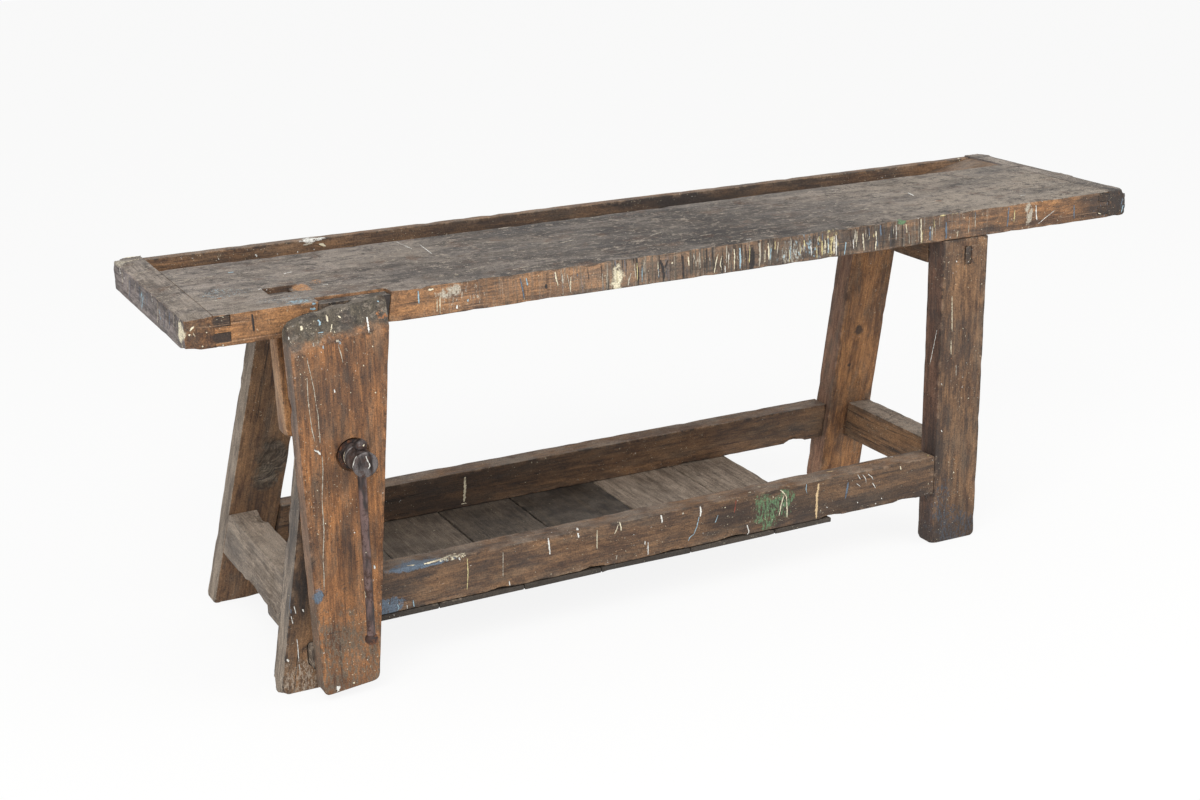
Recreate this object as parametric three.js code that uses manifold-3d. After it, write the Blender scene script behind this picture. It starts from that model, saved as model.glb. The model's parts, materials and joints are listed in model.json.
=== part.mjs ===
// A joiner's bench of old oak: a thick top with a tool tray, two trestles, a shelf and a leg vise.
// Millimetres, +Z up, X along the bench, the worker stands on the -Y side.
import * as THREE from "three";
import { mergeVertices } from "three/addons/utils/BufferGeometryUtils.js";
import Module from "manifold-3d";

// Top
const TOP_LENGTH = 2200;
const TOP_DEPTH = 530;
const TOP_THICK = 61;
const BENCH_HEIGHT = 775;
const SLAB_DEPTH = 384;
const CAP_WIDTH = 58;
const RAIL_THICK = 25;
const RAIL_DROP = 4;
const RAIL_TENON_LENGTH = 14;
const RAIL_TENON_THICK = 12;
const RAIL_TENON_SHOULDER = 10;
const TONGUE_LENGTH = 18;
const TONGUE_THICK = 18;
const TONGUE_MARGIN = 70;
const FINGER_LENGTH = 30;
const FINGER_HEIGHT = 18;
const FINGER_PITCH = 30;
const FINGER_DEPTH = 45;
const FINGER_TOP_MARGIN = 4;
const FINGER_COUNT = 2;
const TRAY_BOARD_THICK = 14;
const TRAY_BOARD_LIFT = 6;
const TRAY_GROOVE_DEPTH = 9;
const RAMP_LENGTH = 200;
const RAMP_TOP_DROP = 3;
const RAMP_TOE = 3;

// Right trestle, whose feet are placed from the right end and the front of the top
const RIGHT_OVERHANG = 399;
const LEG_WIDTH = 121;
const LEG_DEPTH = 56;
const FOOT_REACH = 466;
const REAR_LEG_DEPTH = 60;
const REAR_SPLAY = 0.2;

// Left trestle, which leans along the bench against the push of the plane
const LEFT_OVERHANG = 129;
const VISE_LEG_WIDTH = 140;
const LEFT_REAR_LEG_STEP = 8;
const LEFT_REAR_LEG_WIDTH = 113;
const LEFT_FOOT_STEP = 24;
const LEAN = 0.166;
const LEG_HEAD_DEPTH = 30;
const LEG_HEAD_DROP = 6;

// Bearers and stretchers
const BEARER_WIDTH = 100;
const BEARER_HEIGHT = 61;
const BEARER_TENON_THICK = 17;
const BEARER_TENON_HEIGHT = 40;
const BEARER_TENON_RISE = 2;
const BEARER_TENON_SHIFT = 7;
const BEARER_STUB_LENGTH = 30;
const STRETCHER_BOTTOM = 124;
const STRETCHER_HEIGHT = 92;
const FRONT_STRETCHER_DEPTH = 54;
const REAR_STRETCHER_SETBACK = 14;
const REAR_STRETCHER_DEPTH = 54;
const SIDE_STRETCHER_WIDTH = 62;
const SIDE_STRETCHER_SETBACK = 6;
const LONG_TENON_LENGTH = 46;
const LONG_TENON_THICK = 16;
const SIDE_TENON_LENGTH = 30;
const SIDE_TENON_THICK = 24;
const TENON_SHOULDER = 14;

// Shelf boards, laid from the left trestle to the right
const BOARD_WIDTHS = [169, 186, 175, 212, 210, 146];
const BOARD_GAP = 1.6;
const SHELF_MARGIN = 5;
const SHELF_THICK = 13;
const SHELF_SETBACK = 3;

// Planing stop, placed from the left end and the front of the top
const STOP_FROM_END = 194;
const STOP_FROM_FRONT = 92;
const STOP_WIDTH = 48;
const STOP_DEPTH = 50;
const STOP_LENGTH = 276;
const STOP_SINK = 10;
const STOP_LEAN = -0.035;
const STOP_CLEARANCE = 0.5;
const CHIP_LENGTH = 24;
const CHIP_DEPTH = 8;

// Vise chop, whose corners lie to the left and right of the screw's axis
const JAW_GAP = 25;
const CHOP_THICK = 44;
const CHOP_HEAD_LEFT = 108;
const CHOP_HEAD_RIGHT = 88;
const CHOP_FOOT_LEFT = 87;
const CHOP_FOOT_RIGHT = 27;
const CHOP_FLOOR_GAP = 14;
const CHOP_FOOT_RISE = 11;
const CHOP_TOP_FALL = 25;
const CHOP_FOOT_RADIUS = 14;
const CHOP_SHOULDER_RADIUS = 22;
const CHOP_CORNER_RADIUS = 8;
const CHOP_BEVEL_DROP = 46;
const CHOP_BEVEL_DEPTH = 26;

// Vise screw, measured along its axis from the front face of the chop
const SCREW_Z = 493;
const SCREW_DIAMETER = 30;
const SCREW_CORE_DIAMETER = 24;
const SCREW_LEAD = 8;
const SCREW_TAIL = 230;
const THREAD_SIDES = 12;
const THREAD_ROWS_PER_TURN = 4;
const THREAD_FLATNESS = 1.4;
const SCREW_CLEARANCE = 0.5;
const LEG_BORE = 35;
const RECESS_DIAMETER = 66;
const RECESS_DEPTH = 8;
const WASHER_DIAMETER = 58;
const WASHER_THICK = 5;
const HEAD_LENGTH = 68;
const HEAD_DIAMETER = 46;
const HEAD_RIM_DIAMETER = 49;
const HEAD_RIM_LENGTH = 8;
const HEAD_COLLAR_LENGTH = 16;
const HEAD_GROOVE_LENGTH = 6;
const HEAD_GROOVE_DIAMETER = 39;
const HEAD_CHAMFER = 2.5;
const ROUND_SIDES = 32;

// Tommy bar
const BAR_DIAMETER = 16;
const BAR_LENGTH = 414;
const BAR_CLEARANCE = 0.6;
const KNOB_DIAMETER = 26;
const KNOB_HEIGHT = 20;
const KNOB_SEAT_DIAMETER = 18;
const KNOB_STEPS = 6;
const KNOB_SPIGOT_DIAMETER = 9;
const KNOB_SPIGOT_LENGTH = 13;
const BAR_SIDES = 20;

// Garter plate, let into the back of the chop
const GARTER_WIDTH = 66;
const GARTER_HEIGHT = 74;
const GARTER_THICK = 5;
const GARTER_CLEARANCE = 1;
const GARTER_SCREW_SPACING = 48;

// Nut plate behind the vise leg
const NUT_WIDTH = 84;
const NUT_PLATE_THICK = 8;
const NUT_BOSS_DIAMETER = 50;
const NUT_BOSS_LENGTH = 26;
const NUT_SCREW_SPACING = 62;

// Parallel guide
const GUIDE_WIDTH = 46;
const GUIDE_HEIGHT = 48;
const GUIDE_Z = 52;
const GUIDE_TAIL = 262;
const GUIDE_TENON_WIDTH = 22;
const GUIDE_TENON_LENGTH = 32;
const GUIDE_TENON_OFFSET = 21;
const GUIDE_EDGE_RADIUS = 8;
const GUIDE_CLEARANCE = 1;

// Fasteners
const WOOD_SCREW_DIAMETER = 6;
const WOOD_SCREW_HEAD = 11;
const WOOD_SCREW_HEAD_HEIGHT = 3.5;
const NUT_SCREW_LENGTH = 36;
const GARTER_SCREW_LENGTH = 26;
const COACH_BOLT_DIAMETER = 10;
const COACH_BOLT_HEAD = 20;
const COACH_BOLT_HEAD_HEIGHT = 7;
const COACH_BOLT_LENGTH = 98;
const COACH_BOLT_INSET = 66;
const NAIL_DIAMETER = 4;
const NAIL_HEAD = 9;
const NAIL_HEAD_HEIGHT = 1.6;
const NAIL_LENGTH = 52;
const FASTENER_SIDES = 10;

// Gap left at every glued, seated or driven fit
const FIT = 0.3;
// Length that a cutting shape runs past the face it cuts
const PAST = 5;
// Distance within which vertices are one
const WELD = 1e-4;

// Places worked out from the sizes above
const UNDERSIDE = BENCH_HEIGHT - TOP_THICK;
const HALF_LENGTH = TOP_LENGTH / 2;
const CAP_FACE = HALF_LENGTH - CAP_WIDTH;
const RAIL_FACE = TOP_DEPTH - RAIL_THICK;
const RAIL_TOP = BENCH_HEIGHT - RAIL_DROP;
const TRAY_FLOOR = UNDERSIDE + TRAY_BOARD_LIFT + TRAY_BOARD_THICK;
const BEARER_BOTTOM = UNDERSIDE - BEARER_HEIGHT;
const STRETCHER_TOP = STRETCHER_BOTTOM + STRETCHER_HEIGHT;
const CHOP_BACK = -JAW_GAP;
const CHOP_FRONT = CHOP_BACK - CHOP_THICK;
const RIGHT_LEG_X = HALF_LENGTH - RIGHT_OVERHANG - LEG_WIDTH;
const VISE_LEG_X = -HALF_LENGTH + LEFT_OVERHANG;
const LEFT_REAR_LEG_X = VISE_LEG_X + LEFT_REAR_LEG_STEP;
const LEFT_FOOT_REACH = FOOT_REACH + LEFT_FOOT_STEP;
const REAR_STRETCHER_FOOT_Y = FOOT_REACH + REAR_STRETCHER_SETBACK;
const NAIL_FRONT_Y = FRONT_STRETCHER_DEPTH / 2;
const NAIL_MIDDLE_Z = STRETCHER_BOTTOM - SHELF_THICK + NAIL_LENGTH / 2;
const NAIL_REAR_Y = REAR_STRETCHER_FOOT_Y - REAR_SPLAY * NAIL_MIDDLE_Z + REAR_STRETCHER_DEPTH / 2;
const SHELF_BACK = REAR_STRETCHER_FOOT_Y - REAR_SPLAY * STRETCHER_BOTTOM + REAR_STRETCHER_DEPTH;
const SHELF_DEPTH = SHELF_BACK - SHELF_SETBACK;
const SHELF_LEFT = VISE_LEG_X + VISE_LEG_WIDTH + LEAN * STRETCHER_BOTTOM + SHELF_MARGIN;
const STOP_X = -HALF_LENGTH + STOP_FROM_END;
const STOP_Y = STOP_FROM_FRONT;
const SCREW_X = VISE_LEG_X + LEAN * SCREW_Z + VISE_LEG_WIDTH / 2;
const GUIDE_X = VISE_LEG_X + LEAN * (GUIDE_Z + GUIDE_HEIGHT / 2) + (VISE_LEG_WIDTH - GUIDE_WIDTH) / 2;
const BAR_Y = CHOP_FRONT - (HEAD_COLLAR_LENGTH + HEAD_GROOVE_LENGTH + HEAD_LENGTH - HEAD_RIM_LENGTH) / 2;
const BAR_TOP = SCREW_Z + HEAD_DIAMETER / 2 + FIT;
const FRONT_REACH = CHOP_FRONT - HEAD_LENGTH;
const BACK_REACH = Math.max(TOP_DEPTH, LEFT_FOOT_REACH + REAR_LEG_DEPTH);

const wasm = await Module();
wasm.setup();

// Solids: closed three.js geometry turned into manifold solids, and back
function solid(geometry) {
  const bare = geometry.clone();
  bare.deleteAttribute("normal");
  bare.deleteAttribute("uv");
  const merged = mergeVertices(bare, WELD);
  return new wasm.Manifold(
    new wasm.Mesh({
      numProp: 3,
      vertProperties: new Float32Array(merged.attributes.position.array),
      triVerts: new Uint32Array(merged.index.array),
    }),
  );
}

function geometryOf(manifold) {
  const mesh = manifold.getMesh();
  const geometry = new THREE.BufferGeometry();
  geometry.setAttribute("position", new THREE.BufferAttribute(new Float32Array(mesh.vertProperties), 3));
  geometry.setIndex(new THREE.BufferAttribute(new Uint32Array(mesh.triVerts), 1));
  return geometry;
}

// A box between two corners
function box(x0, x1, y0, y1, z0, z1) {
  const geometry = new THREE.BoxGeometry(x1 - x0, y1 - y0, z1 - z0);
  geometry.translate((x0 + x1) / 2, (y0 + y1) / 2, (z0 + z1) / 2);
  return geometry;
}

// A box whose upper end is pushed along X by lean and along -Y by splay for each millimetre of height
function leaningBox(x0, x1, y0, y1, z0, z1, lean, splay) {
  const shear = new THREE.Matrix4().set(1, 0, lean, 0, 0, 1, -splay, 0, 0, 0, 1, 0, 0, 0, 0, 1);
  return box(x0, x1, y0, y1, z0, z1).applyMatrix4(shear);
}

// An outline of [y, z] points swept along X
function sweepX(points, x0, x1) {
  const shape = new THREE.Shape(points.map(([y, z]) => new THREE.Vector2(y, z)));
  const geometry = new THREE.ExtrudeGeometry(shape, { depth: x1 - x0, bevelEnabled: false });
  const toX = new THREE.Matrix4().set(0, 0, 1, x0, 1, 0, 0, 0, 0, 1, 0, 0, 0, 0, 0, 1);
  return geometry.applyMatrix4(toX);
}

// An outline in X and Z swept along Y
function sweepY(shape, y0, y1, arcSteps = 4) {
  const options = { depth: y1 - y0, bevelEnabled: false, curveSegments: arcSteps };
  const geometry = new THREE.ExtrudeGeometry(shape, options);
  const toY = new THREE.Matrix4().set(1, 0, 0, 0, 0, 0, -1, y1, 0, 1, 0, 0, 0, 0, 0, 1);
  return geometry.applyMatrix4(toY);
}

// A closed outline through corners [x, z, radius], each rounded by its radius
function roundedOutline(corners) {
  const shape = new THREE.Shape();
  const count = corners.length;
  corners.forEach(([x, z, radius], index) => {
    const here = new THREE.Vector2(x, z);
    const before = new THREE.Vector2(...corners[(index + count - 1) % count]);
    const after = new THREE.Vector2(...corners[(index + 1) % count]);
    const start = here.clone().add(before.sub(here).setLength(radius));
    const end = here.clone().add(after.sub(here).setLength(radius));
    if (index === 0) shape.moveTo(start.x, start.y);
    else shape.lineTo(start.x, start.y);
    shape.quadraticCurveTo(here.x, here.y, end.x, end.y);
  });
  shape.closePath();
  return shape;
}

// A turned piece about Y: the profile is [radius, distance] pairs, with distance counted along -Y from y
function turnedY(profile, x, y, z, sides) {
  const points = profile.map(([radius, distance]) => new THREE.Vector2(radius, distance));
  const geometry = new THREE.LatheGeometry(points, sides);
  return geometry.rotateX(Math.PI).translate(x, y, z);
}

// A turned piece about Z: the profile is [radius, height] pairs above z
function turnedZ(profile, x, y, z, sides) {
  const points = profile.map(([radius, height]) => new THREE.Vector2(radius, height));
  const geometry = new THREE.LatheGeometry(points, sides);
  return geometry.rotateX(Math.PI / 2).translate(x, y, z);
}

// The [radius, distance] profile of a plain rod
function rodProfile(diameter, start, end) {
  const radius = diameter / 2;
  return [[0, start], [radius, start], [radius, end], [0, end]];
}

// The [radius, distance] profile of a headed fastener whose tip is at zero
function fastenerProfile(diameter, head, headHeight, length) {
  const shank = length - headHeight;
  const [thin, wide] = [diameter / 2, head / 2];
  return [[0, 0], [thin, thin], [thin, shank], [wide, shank], [wide, length], [0, length]];
}

// Finishes
const finishes = {
  worn_top: [0x6b5d52, 0.8, 0],
  oiled_oak: [0x6e4a30, 0.7, 0],
  dusty_oak: [0x8a7a68, 0.85, 0],
  shelf_wood: [0x55483c, 0.85, 0],
  chop_wood: [0x74472c, 0.6, 0],
  pale_wood: [0xb08d62, 0.7, 0],
  dark_steel: [0x2f2d30, 0.45, 0.9],
  rusty_iron: [0x4a3328, 0.8, 0.6],
};

const bench = new THREE.Group();
bench.position.y = -(FRONT_REACH + BACK_REACH) / 2;

function piece(name, manifold, finish) {
  const [color, roughness, metalness] = finishes[finish];
  const material = new THREE.MeshStandardMaterial({ color, roughness, metalness });
  const mesh = new THREE.Mesh(geometryOf(manifold), material);
  mesh.name = name;
  bench.add(mesh);
}

const cut = (body, geometry) => body.subtract(solid(geometry));
const join = (body, geometry) => body.add(solid(geometry));

// Top: slab, end caps, rear rail and tool tray
const fingerTop = BENCH_HEIGHT - FINGER_TOP_MARGIN;
const fingerTops = Array.from({ length: FINGER_COUNT }, (_, index) => fingerTop - index * FINGER_PITCH);
const tongueMiddle = UNDERSIDE + TOP_THICK / 2;
const rightSide = { sign: 1, name: "right" };
const leftSide = { sign: -1, name: "left" };

// A box given by distances from the middle of the bench, on one end of it
function endBox(sign, near, far, y0, y1, z0, z1) {
  return box(Math.min(sign * near, sign * far), Math.max(sign * near, sign * far), y0, y1, z0, z1);
}

// The tongue on an end of the slab, and the tenon on an end of the rear rail
function slabTongue(sign, grow) {
  const x = [CAP_FACE - PAST, CAP_FACE + TONGUE_LENGTH - FIT + grow];
  const y = [TONGUE_MARGIN - grow, SLAB_DEPTH - TONGUE_MARGIN + grow];
  const half = TONGUE_THICK / 2 + grow;
  return endBox(sign, ...x, ...y, tongueMiddle - half, tongueMiddle + half);
}

function railTenon(sign, grow) {
  const x = [CAP_FACE - PAST, CAP_FACE + RAIL_TENON_LENGTH - FIT + grow];
  const middle = RAIL_FACE + RAIL_THICK / 2;
  const half = RAIL_TENON_THICK / 2 + grow;
  const z = [UNDERSIDE + RAIL_TENON_SHOULDER - grow, RAIL_TOP - RAIL_TENON_SHOULDER + grow];
  return endBox(sign, ...x, middle - half, middle + half, ...z);
}

function endCap({ sign, name }) {
  let cap = solid(endBox(sign, CAP_FACE, HALF_LENGTH, 0, TOP_DEPTH, UNDERSIDE, BENCH_HEIGHT));
  for (const top of fingerTops) {
    const finger = [CAP_FACE - FINGER_LENGTH, CAP_FACE + PAST, 0, FINGER_DEPTH, top - FINGER_HEIGHT, top];
    cap = join(cap, endBox(sign, ...finger));
  }
  cap = cut(cap, slabTongue(sign, FIT));
  cap = cut(cap, railTenon(sign, FIT));
  piece(name + "_end_cap", cap, "worn_top");
}
endCap(leftSide);
endCap(rightSide);

// The planing stop's square, which leans a little along the bench
function stopShape(grow, z0, z1) {
  const foot = STOP_X - STOP_LEAN * BENCH_HEIGHT;
  const x = [foot - grow, foot + STOP_WIDTH + grow];
  return leaningBox(...x, STOP_Y - grow, STOP_Y + STOP_DEPTH + grow, z0, z1, STOP_LEAN, 0);
}

// The head of the vise leg, housed in the front edge of the slab
function legHead(grow, top) {
  const x = [VISE_LEG_X - grow, VISE_LEG_X + VISE_LEG_WIDTH + grow];
  return leaningBox(...x, grow ? -PAST : 0, LEG_HEAD_DEPTH + grow, UNDERSIDE - PAST, top, LEAN, 0);
}

function topSlab() {
  let slab = solid(box(-CAP_FACE + FIT, CAP_FACE - FIT, 0, SLAB_DEPTH, UNDERSIDE, BENCH_HEIGHT));
  for (const { sign } of [leftSide, rightSide]) {
    slab = join(slab, slabTongue(sign, 0));
    for (const top of fingerTops) {
      const notch = [CAP_FACE - FINGER_LENGTH - FIT, CAP_FACE + PAST, -PAST, FINGER_DEPTH + FIT];
      slab = cut(slab, endBox(sign, ...notch, top - FINGER_HEIGHT - FIT, top + FIT));
    }
  }
  slab = cut(slab, legHead(FIT, BENCH_HEIGHT + PAST));
  slab = cut(slab, stopShape(STOP_CLEARANCE, UNDERSIDE - PAST, BENCH_HEIGHT + PAST));
  slab = cut(slab, stopChip());
  const grooveFloor = SLAB_DEPTH - TRAY_GROOVE_DEPTH;
  const groove = [-CAP_FACE - PAST, CAP_FACE + PAST, grooveFloor, SLAB_DEPTH + PAST];
  slab = cut(slab, box(...groove, UNDERSIDE + TRAY_BOARD_LIFT - FIT, TRAY_FLOOR + FIT));
  for (const bolt of coachBolts) slab = cut(slab, coachBoltShape(bolt, FIT));
  piece("top_slab", slab, "worn_top");
}

// The worn slope on the right of the stop's hole
function stopChip() {
  const edge = STOP_X + STOP_WIDTH + STOP_CLEARANCE;
  const wedge = new THREE.Shape([
    new THREE.Vector2(edge - PAST, BENCH_HEIGHT - CHIP_DEPTH),
    new THREE.Vector2(edge, BENCH_HEIGHT - CHIP_DEPTH),
    new THREE.Vector2(edge + CHIP_LENGTH, BENCH_HEIGHT),
    new THREE.Vector2(edge + CHIP_LENGTH, BENCH_HEIGHT + PAST),
    new THREE.Vector2(edge - PAST, BENCH_HEIGHT + PAST),
  ]);
  return sweepY(wedge, STOP_Y - STOP_CLEARANCE, STOP_Y + STOP_DEPTH + STOP_CLEARANCE);
}

function rearRail() {
  let rail = solid(box(-CAP_FACE + FIT, CAP_FACE - FIT, RAIL_FACE, TOP_DEPTH, UNDERSIDE, RAIL_TOP));
  const groove = [-CAP_FACE - PAST, CAP_FACE + PAST, RAIL_FACE - PAST, RAIL_FACE + TRAY_GROOVE_DEPTH];
  rail = cut(rail, box(...groove, UNDERSIDE + TRAY_BOARD_LIFT - FIT, TRAY_FLOOR + FIT));
  for (const { sign } of [leftSide, rightSide]) {
    const stub = solid(railTenon(sign, 0)).subtract(solid(box(...groove, 0, TRAY_FLOOR + FIT)));
    rail = rail.add(stub);
  }
  piece("rear_rail", rail, "oiled_oak");
}

function trayBottom() {
  const y = [SLAB_DEPTH - TRAY_GROOVE_DEPTH + FIT, RAIL_FACE + TRAY_GROOVE_DEPTH - FIT];
  const board = box(-CAP_FACE + FIT, CAP_FACE - FIT, ...y, UNDERSIDE + TRAY_BOARD_LIFT, TRAY_FLOOR);
  piece("tray_bottom", solid(board), "shelf_wood");
}

// The block at the right end of the tray, sloped so that shavings can be swept out
function trayRamp() {
  const foot = TRAY_FLOOR + FIT;
  const end = CAP_FACE - FIT;
  const wedge = new THREE.Shape([
    new THREE.Vector2(end - RAMP_LENGTH, foot),
    new THREE.Vector2(end, foot),
    new THREE.Vector2(end, BENCH_HEIGHT - RAMP_TOP_DROP),
    new THREE.Vector2(end - RAMP_LENGTH, foot + RAMP_TOE),
  ]);
  piece("tray_ramp", solid(sweepY(wedge, SLAB_DEPTH + FIT, RAIL_FACE - FIT)), "oiled_oak");
}

// Trestles: each has a front leg, a splayed rear leg, a top bearer and a side stretcher.
// Their X places are those at the floor, and lean carries them along the bench as they rise.
const rightTrestle = {
  name: "right",
  lean: 0,
  front: [RIGHT_LEG_X, RIGHT_LEG_X + LEG_WIDTH],
  rear: [RIGHT_LEG_X, RIGHT_LEG_X + LEG_WIDTH],
  rearFoot: FOOT_REACH,
  bearer: [RIGHT_LEG_X, RIGHT_LEG_X + BEARER_WIDTH],
  side: [
    RIGHT_LEG_X + LEG_WIDTH - SIDE_STRETCHER_SETBACK - SIDE_STRETCHER_WIDTH,
    RIGHT_LEG_X + LEG_WIDTH - SIDE_STRETCHER_SETBACK,
  ],
};
const viseLegRight = VISE_LEG_X + VISE_LEG_WIDTH;
const leftTrestle = {
  name: "left",
  lean: LEAN,
  front: [VISE_LEG_X, viseLegRight],
  rear: [LEFT_REAR_LEG_X, LEFT_REAR_LEG_X + LEFT_REAR_LEG_WIDTH],
  rearFoot: LEFT_FOOT_REACH,
  bearer: [viseLegRight - BEARER_WIDTH, viseLegRight],
  side: [LEFT_REAR_LEG_X, LEFT_REAR_LEG_X + SIDE_STRETCHER_WIDTH],
};

// An outline of [y, z] points swept along X and then leant with its trestle
function leanSweep(trestle, points, x0, x1) {
  const shear = new THREE.Matrix4().makeShear(0, 0, 0, 0, trestle.lean, 0);
  return sweepX(points, x0, x1).applyMatrix4(shear);
}

// The four corners of a rail that runs from the plane y = front to a line along the splayed leg
function railOutline(front, rearFoot, z0, z1) {
  const rearAt = (z) => rearFoot - REAR_SPLAY * z;
  return [[front, z0], [rearAt(z0), z0], [rearAt(z1), z1], [front, z1]];
}

function tenonX(trestle) {
  const middle = (trestle.front[0] + trestle.front[1]) / 2 + BEARER_TENON_SHIFT;
  return [middle - BEARER_TENON_THICK / 2, middle + BEARER_TENON_THICK / 2];
}

// The bearer's tenons: right through the front leg, and a stub into the rear leg
function bearerTenons(trestle, grow) {
  const z0 = BEARER_BOTTOM + BEARER_TENON_RISE - grow;
  const z1 = z0 + BEARER_TENON_HEIGHT + 2 * grow;
  const [x0, x1] = tenonX(trestle);
  const front = grow ? -PAST : 0;
  const outline = railOutline(front, trestle.rearFoot + BEARER_STUB_LENGTH + grow - FIT, z0, z1);
  return leanSweep(trestle, outline, x0 - grow, x1 + grow);
}

function sideTenons(trestle, grow) {
  const middle = (trestle.side[0] + trestle.side[1]) / 2;
  const half = SIDE_TENON_THICK / 2 + grow;
  const z = [STRETCHER_BOTTOM + TENON_SHOULDER - grow, STRETCHER_TOP - TENON_SHOULDER + grow];
  const reach = SIDE_TENON_LENGTH - FIT + grow;
  const outline = railOutline(LEG_DEPTH - reach, trestle.rearFoot + reach, ...z);
  return leanSweep(trestle, outline, middle - half, middle + half);
}

function topBearer(trestle) {
  const body = railOutline(LEG_DEPTH + FIT, trestle.rearFoot - FIT, BEARER_BOTTOM, UNDERSIDE - FIT);
  let bearer = solid(leanSweep(trestle, body, ...trestle.bearer));
  bearer = join(bearer, bearerTenons(trestle, 0));
  for (const bolt of coachBolts) {
    if (bolt.trestle === trestle) bearer = cut(bearer, coachBoltShape(bolt, FIT));
  }
  piece(trestle.name + "_top_bearer", bearer, "oiled_oak");
}

function sideStretcher(trestle) {
  const body = railOutline(LEG_DEPTH + FIT, trestle.rearFoot - FIT, STRETCHER_BOTTOM, STRETCHER_TOP);
  const stretcher = join(solid(leanSweep(trestle, body, ...trestle.side)), sideTenons(trestle, 0));
  piece(trestle.name + "_side_stretcher", stretcher, "dusty_oak");
}

// A long stretcher between the two trestles: its ends follow the faces of the legs it meets
function longOutline(leftLeg, rightLeg, z0, z1, leftReach, rightReach) {
  const leftAt = (z) => leftLeg[1] + LEAN * z - leftReach;
  const rightEnd = rightLeg[0] + rightReach;
  return new THREE.Shape([
    new THREE.Vector2(leftAt(z0), z0),
    new THREE.Vector2(rightEnd, z0),
    new THREE.Vector2(rightEnd, z1),
    new THREE.Vector2(leftAt(z1), z1),
  ]);
}

function splayed(geometry, splay) {
  return geometry.applyMatrix4(new THREE.Matrix4().makeShear(0, 0, 0, 0, 0, -splay));
}

const frontRail = {
  name: "front_stretcher",
  legs: [leftTrestle.front, rightTrestle.front],
  y: 0,
  depth: FRONT_STRETCHER_DEPTH,
  splay: 0,
  nailY: NAIL_FRONT_Y,
};
const rearRailLow = {
  name: "rear_stretcher",
  legs: [leftTrestle.rear, rightTrestle.rear],
  y: REAR_STRETCHER_FOOT_Y,
  depth: REAR_STRETCHER_DEPTH,
  splay: REAR_SPLAY,
  nailY: NAIL_REAR_Y,
};

function longTenons(rail, grow) {
  const z = [STRETCHER_BOTTOM + TENON_SHOULDER - grow, STRETCHER_TOP - TENON_SHOULDER + grow];
  const reach = LONG_TENON_LENGTH - FIT + grow;
  const middle = rail.y + rail.depth / 2;
  const half = LONG_TENON_THICK / 2 + grow;
  const outline = longOutline(...rail.legs, ...z, reach, reach);
  return splayed(sweepY(outline, middle - half, middle + half), rail.splay);
}

function longStretcher(rail) {
  const outline = longOutline(...rail.legs, STRETCHER_BOTTOM, STRETCHER_TOP, -FIT, -FIT);
  let stretcher = solid(splayed(sweepY(outline, rail.y, rail.y + rail.depth), rail.splay));
  stretcher = join(stretcher, longTenons(rail, 0));
  for (const board of shelfBoards) stretcher = cut(stretcher, nailShape(board, rail.nailY, FIT));
  piece(rail.name, stretcher, "oiled_oak");
}

function frontLeg(trestle, name, finish) {
  let leg = solid(leaningBox(...trestle.front, 0, LEG_DEPTH, 0, UNDERSIDE - FIT, trestle.lean, 0));
  if (trestle === leftTrestle) leg = join(leg, legHead(0, BENCH_HEIGHT - LEG_HEAD_DROP));
  leg = cut(leg, bearerTenons(trestle, FIT));
  leg = cut(leg, sideTenons(trestle, FIT));
  leg = cut(leg, longTenons(frontRail, FIT));
  if (trestle === leftTrestle) {
    const bore = rodProfile(LEG_BORE, -LEG_DEPTH - PAST, PAST);
    leg = cut(leg, turnedY(bore, SCREW_X, 0, SCREW_Z, ROUND_SIDES));
    leg = cut(leg, guideBar(GUIDE_CLEARANCE, -PAST, LEG_DEPTH + PAST));
    for (const x of nutScrewPlaces) leg = cut(leg, nutScrewShape(x, FIT));
  }
  piece(name, leg, finish);
}

function rearLeg(trestle) {
  const y = [trestle.rearFoot, trestle.rearFoot + REAR_LEG_DEPTH];
  let leg = solid(leaningBox(...trestle.rear, ...y, 0, UNDERSIDE - FIT, trestle.lean, REAR_SPLAY));
  leg = cut(leg, bearerTenons(trestle, FIT));
  leg = cut(leg, sideTenons(trestle, FIT));
  leg = cut(leg, longTenons(rearRailLow, FIT));
  piece(trestle.name + "_rear_leg", leg, "oiled_oak");
}

// Coach bolts, driven up through the bearers into the slab
const coachBolts = [leftTrestle, rightTrestle].flatMap((trestle) => {
  const rearY = trestle.rearFoot - REAR_SPLAY * UNDERSIDE;
  const places = { front: LEG_DEPTH + COACH_BOLT_INSET, rear: rearY - COACH_BOLT_INSET };
  const shift = trestle.lean * (BEARER_BOTTOM + BEARER_HEIGHT / 2);
  const x = (trestle.bearer[0] + trestle.bearer[1]) / 2 + shift;
  const named = ([end, y]) => ({ trestle, x, y, name: trestle.name + "_" + end + "_coach_bolt" });
  return Object.entries(places).map(named);
});

function coachBoltShape({ x, y }, grow) {
  const length = COACH_BOLT_LENGTH + 2 * grow;
  const head = COACH_BOLT_HEAD + 2 * grow;
  const profile = fastenerProfile(COACH_BOLT_DIAMETER + 2 * grow, head, COACH_BOLT_HEAD_HEIGHT, length);
  const upward = profile.map(([radius, height]) => [radius, length - height]).reverse();
  const foot = BEARER_BOTTOM - COACH_BOLT_HEAD_HEIGHT - FIT;
  return turnedZ(upward, x, y, foot, FASTENER_SIDES);
}

function coachBolt(bolt) {
  piece(bolt.name, solid(coachBoltShape(bolt, 0)), "rusty_iron");
}

// Shelf boards and the nails that hold them up under the stretchers
const shelfBoards = BOARD_WIDTHS.map((width, index) => {
  const before = BOARD_WIDTHS.slice(0, index).reduce((sum, other) => sum + other + BOARD_GAP, 0);
  const left = SHELF_LEFT + before;
  return { left, right: left + width, middle: left + width / 2, number: index + 1 };
});

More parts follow.
